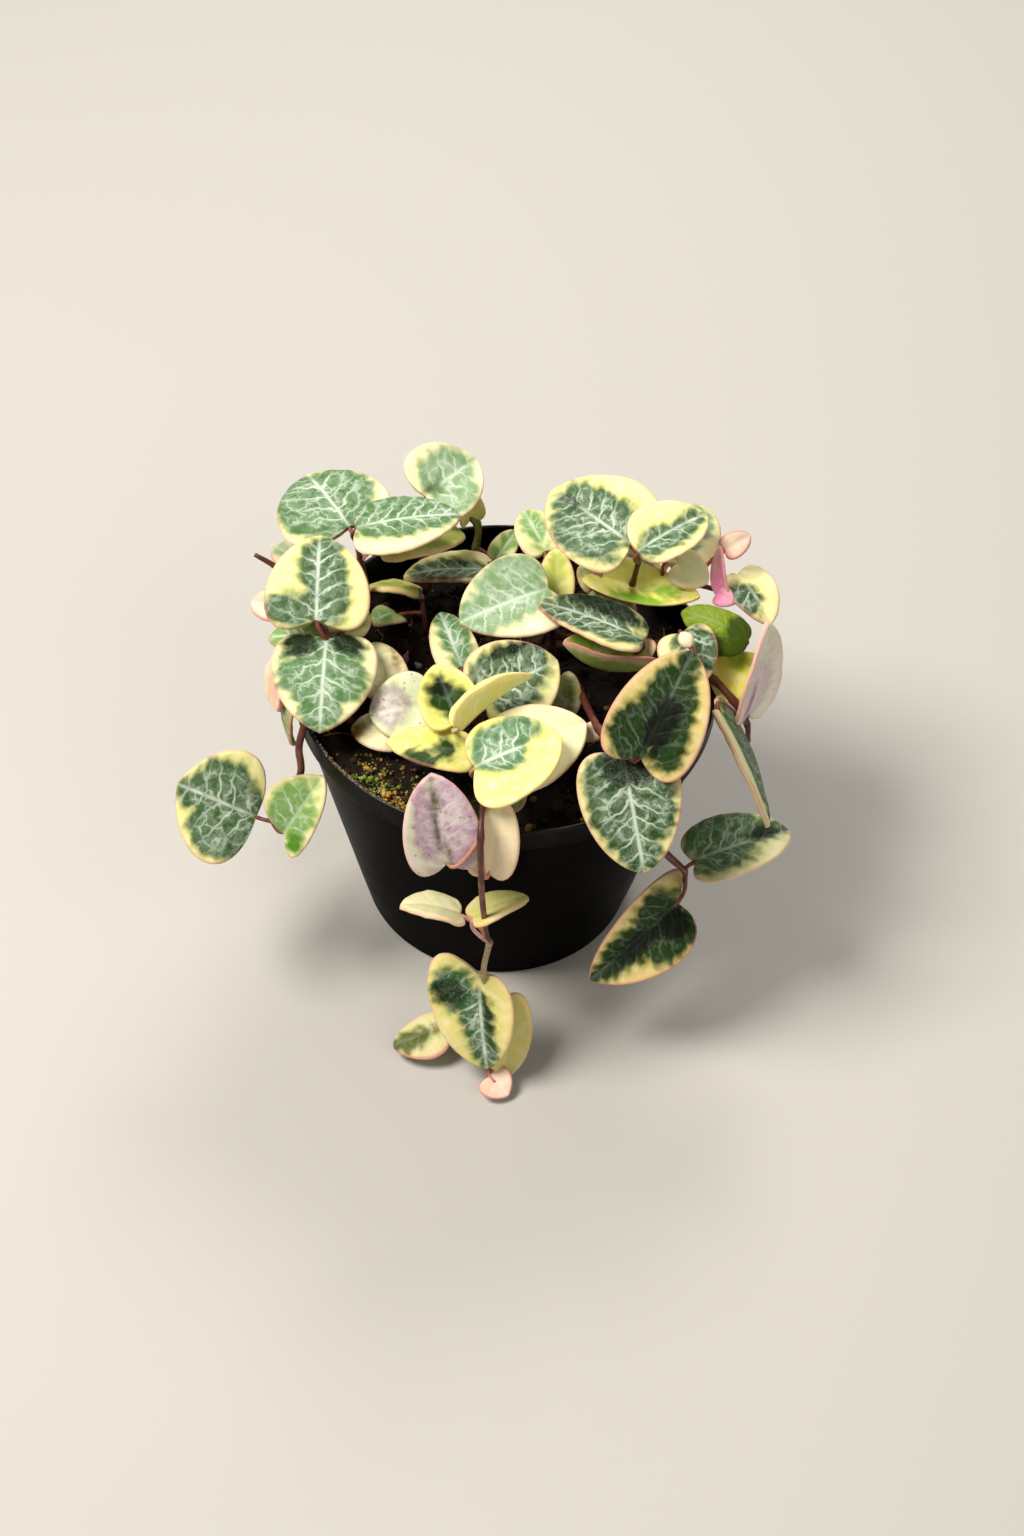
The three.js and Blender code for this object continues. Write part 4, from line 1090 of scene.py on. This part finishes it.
def add_lichen(shell, draw):
    for turn, radius, width, depth, count, tints in LICHEN_CLUMPS:
        for _ in range(count):
            angle = radians(turn + width * draw.uniform(-1, 1))
            x, y = polar(min(LICHEN_REACH, radius + depth * draw.gauss(0, 0.5)), angle)
            size = 0.17 + 0.33 * draw.random() ** 2
            pile = 0.5 * draw.random() * (1 - abs(degrees(angle) - turn) / width)
            add_crumb(shell, draw, on_soil(x, y, 0.3 * size + pile), size, draw.choice(tints))


def add_rim_grains(shell, draw):
    """Grit that lies on the rounded rim, beside the lichen."""
    for _ in range(RIM_GRAINS):
        angle = radians(draw.gauss(226, 8))
        across = draw.uniform(-0.45, 0.2)
        x, y = polar(RIM_RADIUS - LIP + across, angle)
        size = 0.1 + 0.14 * draw.random()
        centre = vec((x, y, POT_HEIGHT - LIP + sqrt(LIP ** 2 - across ** 2)))
        add_crumb(shell, draw, centre, size, draw.choice(GRIT_TINTS + OCHRE_TINTS[:2]))


def add_fibres(shell, draw):
    for _ in range(FIBRES):
        x, y = scattered(draw, FIBRE_REACH)
        heading = draw.uniform(0, tau)
        path = []
        for _ in range(FIBRE_POINTS):
            heading += draw.uniform(-0.5, 0.5)
            x += FIBRE_STEP * cos(heading)
            y += FIBRE_STEP * sin(heading)
            if hypot(x, y) > CRUMB_REACH:
                break
            path.append(on_soil(x, y, 0.25 + draw.uniform(-0.1, 0.3)))
        if len(path) > 3:
            tint = draw.choice(OCHRE_TINTS + CRUMB_TINTS)
            add_tube(shell, path, [FIBRE_RADIUS] * len(path), 5, tint=tint)


def make_crumbs():
    """Loose pieces on the soil, and the lichen at the front left of the rim."""
    draw = random.Random(5)
    crumbs, lichen = Shell(), Shell()
    add_crumbs(crumbs, draw)
    add_clods(crumbs, draw)
    add_lichen(lichen, draw)
    add_rim_grains(lichen, draw)
    add_fibres(crumbs, draw)
    crumbs.piece("soil_crumbs", SOIL, frame_slots["soil"])
    lichen.piece("rim_lichen", SOIL, frame_slots["soil"])


make_soil()
make_crumbs()

# ---- Floor, light and camera, in metres ----

FLOOR_REACH = 3.0
# Place, target, diameter, power (watts) and colour.
LIGHTS = {
    "key": ((-0.42, -0.12, 0.75), (0, 0, 0.06), 0.35, 8.1, (1.0, 0.97, 0.91)),
    "rim": ((0.1, 0.55, 0.6), (0, 0, 0.07), 0.3, 3.0, (1.0, 0.98, 0.94)),
    "fill": ((0.5, -0.5, 0.6), (0, 0, 0.05), 0.7, 1.6, (1.0, 0.98, 0.95)),
}
SKY_COLOUR = (1.0, 0.98, 0.95, 1)
SKY_STRENGTH = 0.15
CAMERA_PITCH = 0.85348  # looking down, radians
CAMERA_YAW = 0.00605
CAMERA_ROLL = 0.05117
CAMERA_PLACE = Vector((0, -357.2, 442.96)) * MM
FOCAL_PIXELS = 2600
IMAGE_HEIGHT = 1536
SENSOR = 36


def make_floor():
    mesh = bpy.data.meshes.new("floor")
    corners = [(x * FLOOR_REACH, y * FLOOR_REACH, 0) for x, y in ((-1, -1), (1, -1), (1, 1), (-1, 1))]
    mesh.from_pydata(corners, [], [(0, 1, 2, 3)])
    floor = linked("floor", mesh)
    g = Graph("floor")
    g.set(Base_Color=rgb("c6c2bb"), Roughness=0.8, Specular_IOR_Level=0.2)
    mesh.materials.append(g.material)


def make_lights():
    for name, (place, target, diameter, power, colour) in LIGHTS.items():
        data = bpy.data.lights.new(name, "AREA")
        data.shape = "DISK"
        data.size = diameter
        data.energy = power
        data.color = colour
        lamp = linked(name, data)
        lamp.location = place
        lamp.rotation_euler = (Vector(target) - Vector(place)).to_track_quat("-Z", "Y").to_euler()


def make_camera():
    data = bpy.data.cameras.new("camera")
    data.sensor_fit = "AUTO"
    data.sensor_width = SENSOR
    data.lens = FOCAL_PIXELS / IMAGE_HEIGHT * SENSOR
    data.clip_start = 0.01
    forward = Vector((sin(CAMERA_YAW) * cos(CAMERA_PITCH),
                      cos(CAMERA_YAW) * cos(CAMERA_PITCH), -sin(CAMERA_PITCH)))
    level = forward.cross(Vector((0, 0, 1))).normalized()
    above = level.cross(forward)
    right = cos(CAMERA_ROLL) * level + sin(CAMERA_ROLL) * above
    up = cos(CAMERA_ROLL) * above - sin(CAMERA_ROLL) * level
    turned = Matrix((right, up, -forward)).transposed()
    camera = linked("camera", data)
    camera.matrix_world = Matrix.Translation(CAMERA_PLACE) @ turned.to_4x4()
    bpy.context.scene.camera = camera


make_floor()
make_lights()
make_camera()

world = bpy.data.worlds.new("studio")
world.use_nodes = True
sky = world.node_tree.nodes["Background"].inputs
sky[0].default_value = SKY_COLOUR
sky[1].default_value = SKY_STRENGTH
bpy.context.scene.world = world
bpy.context.scene.view_settings.view_transform = "Standard"
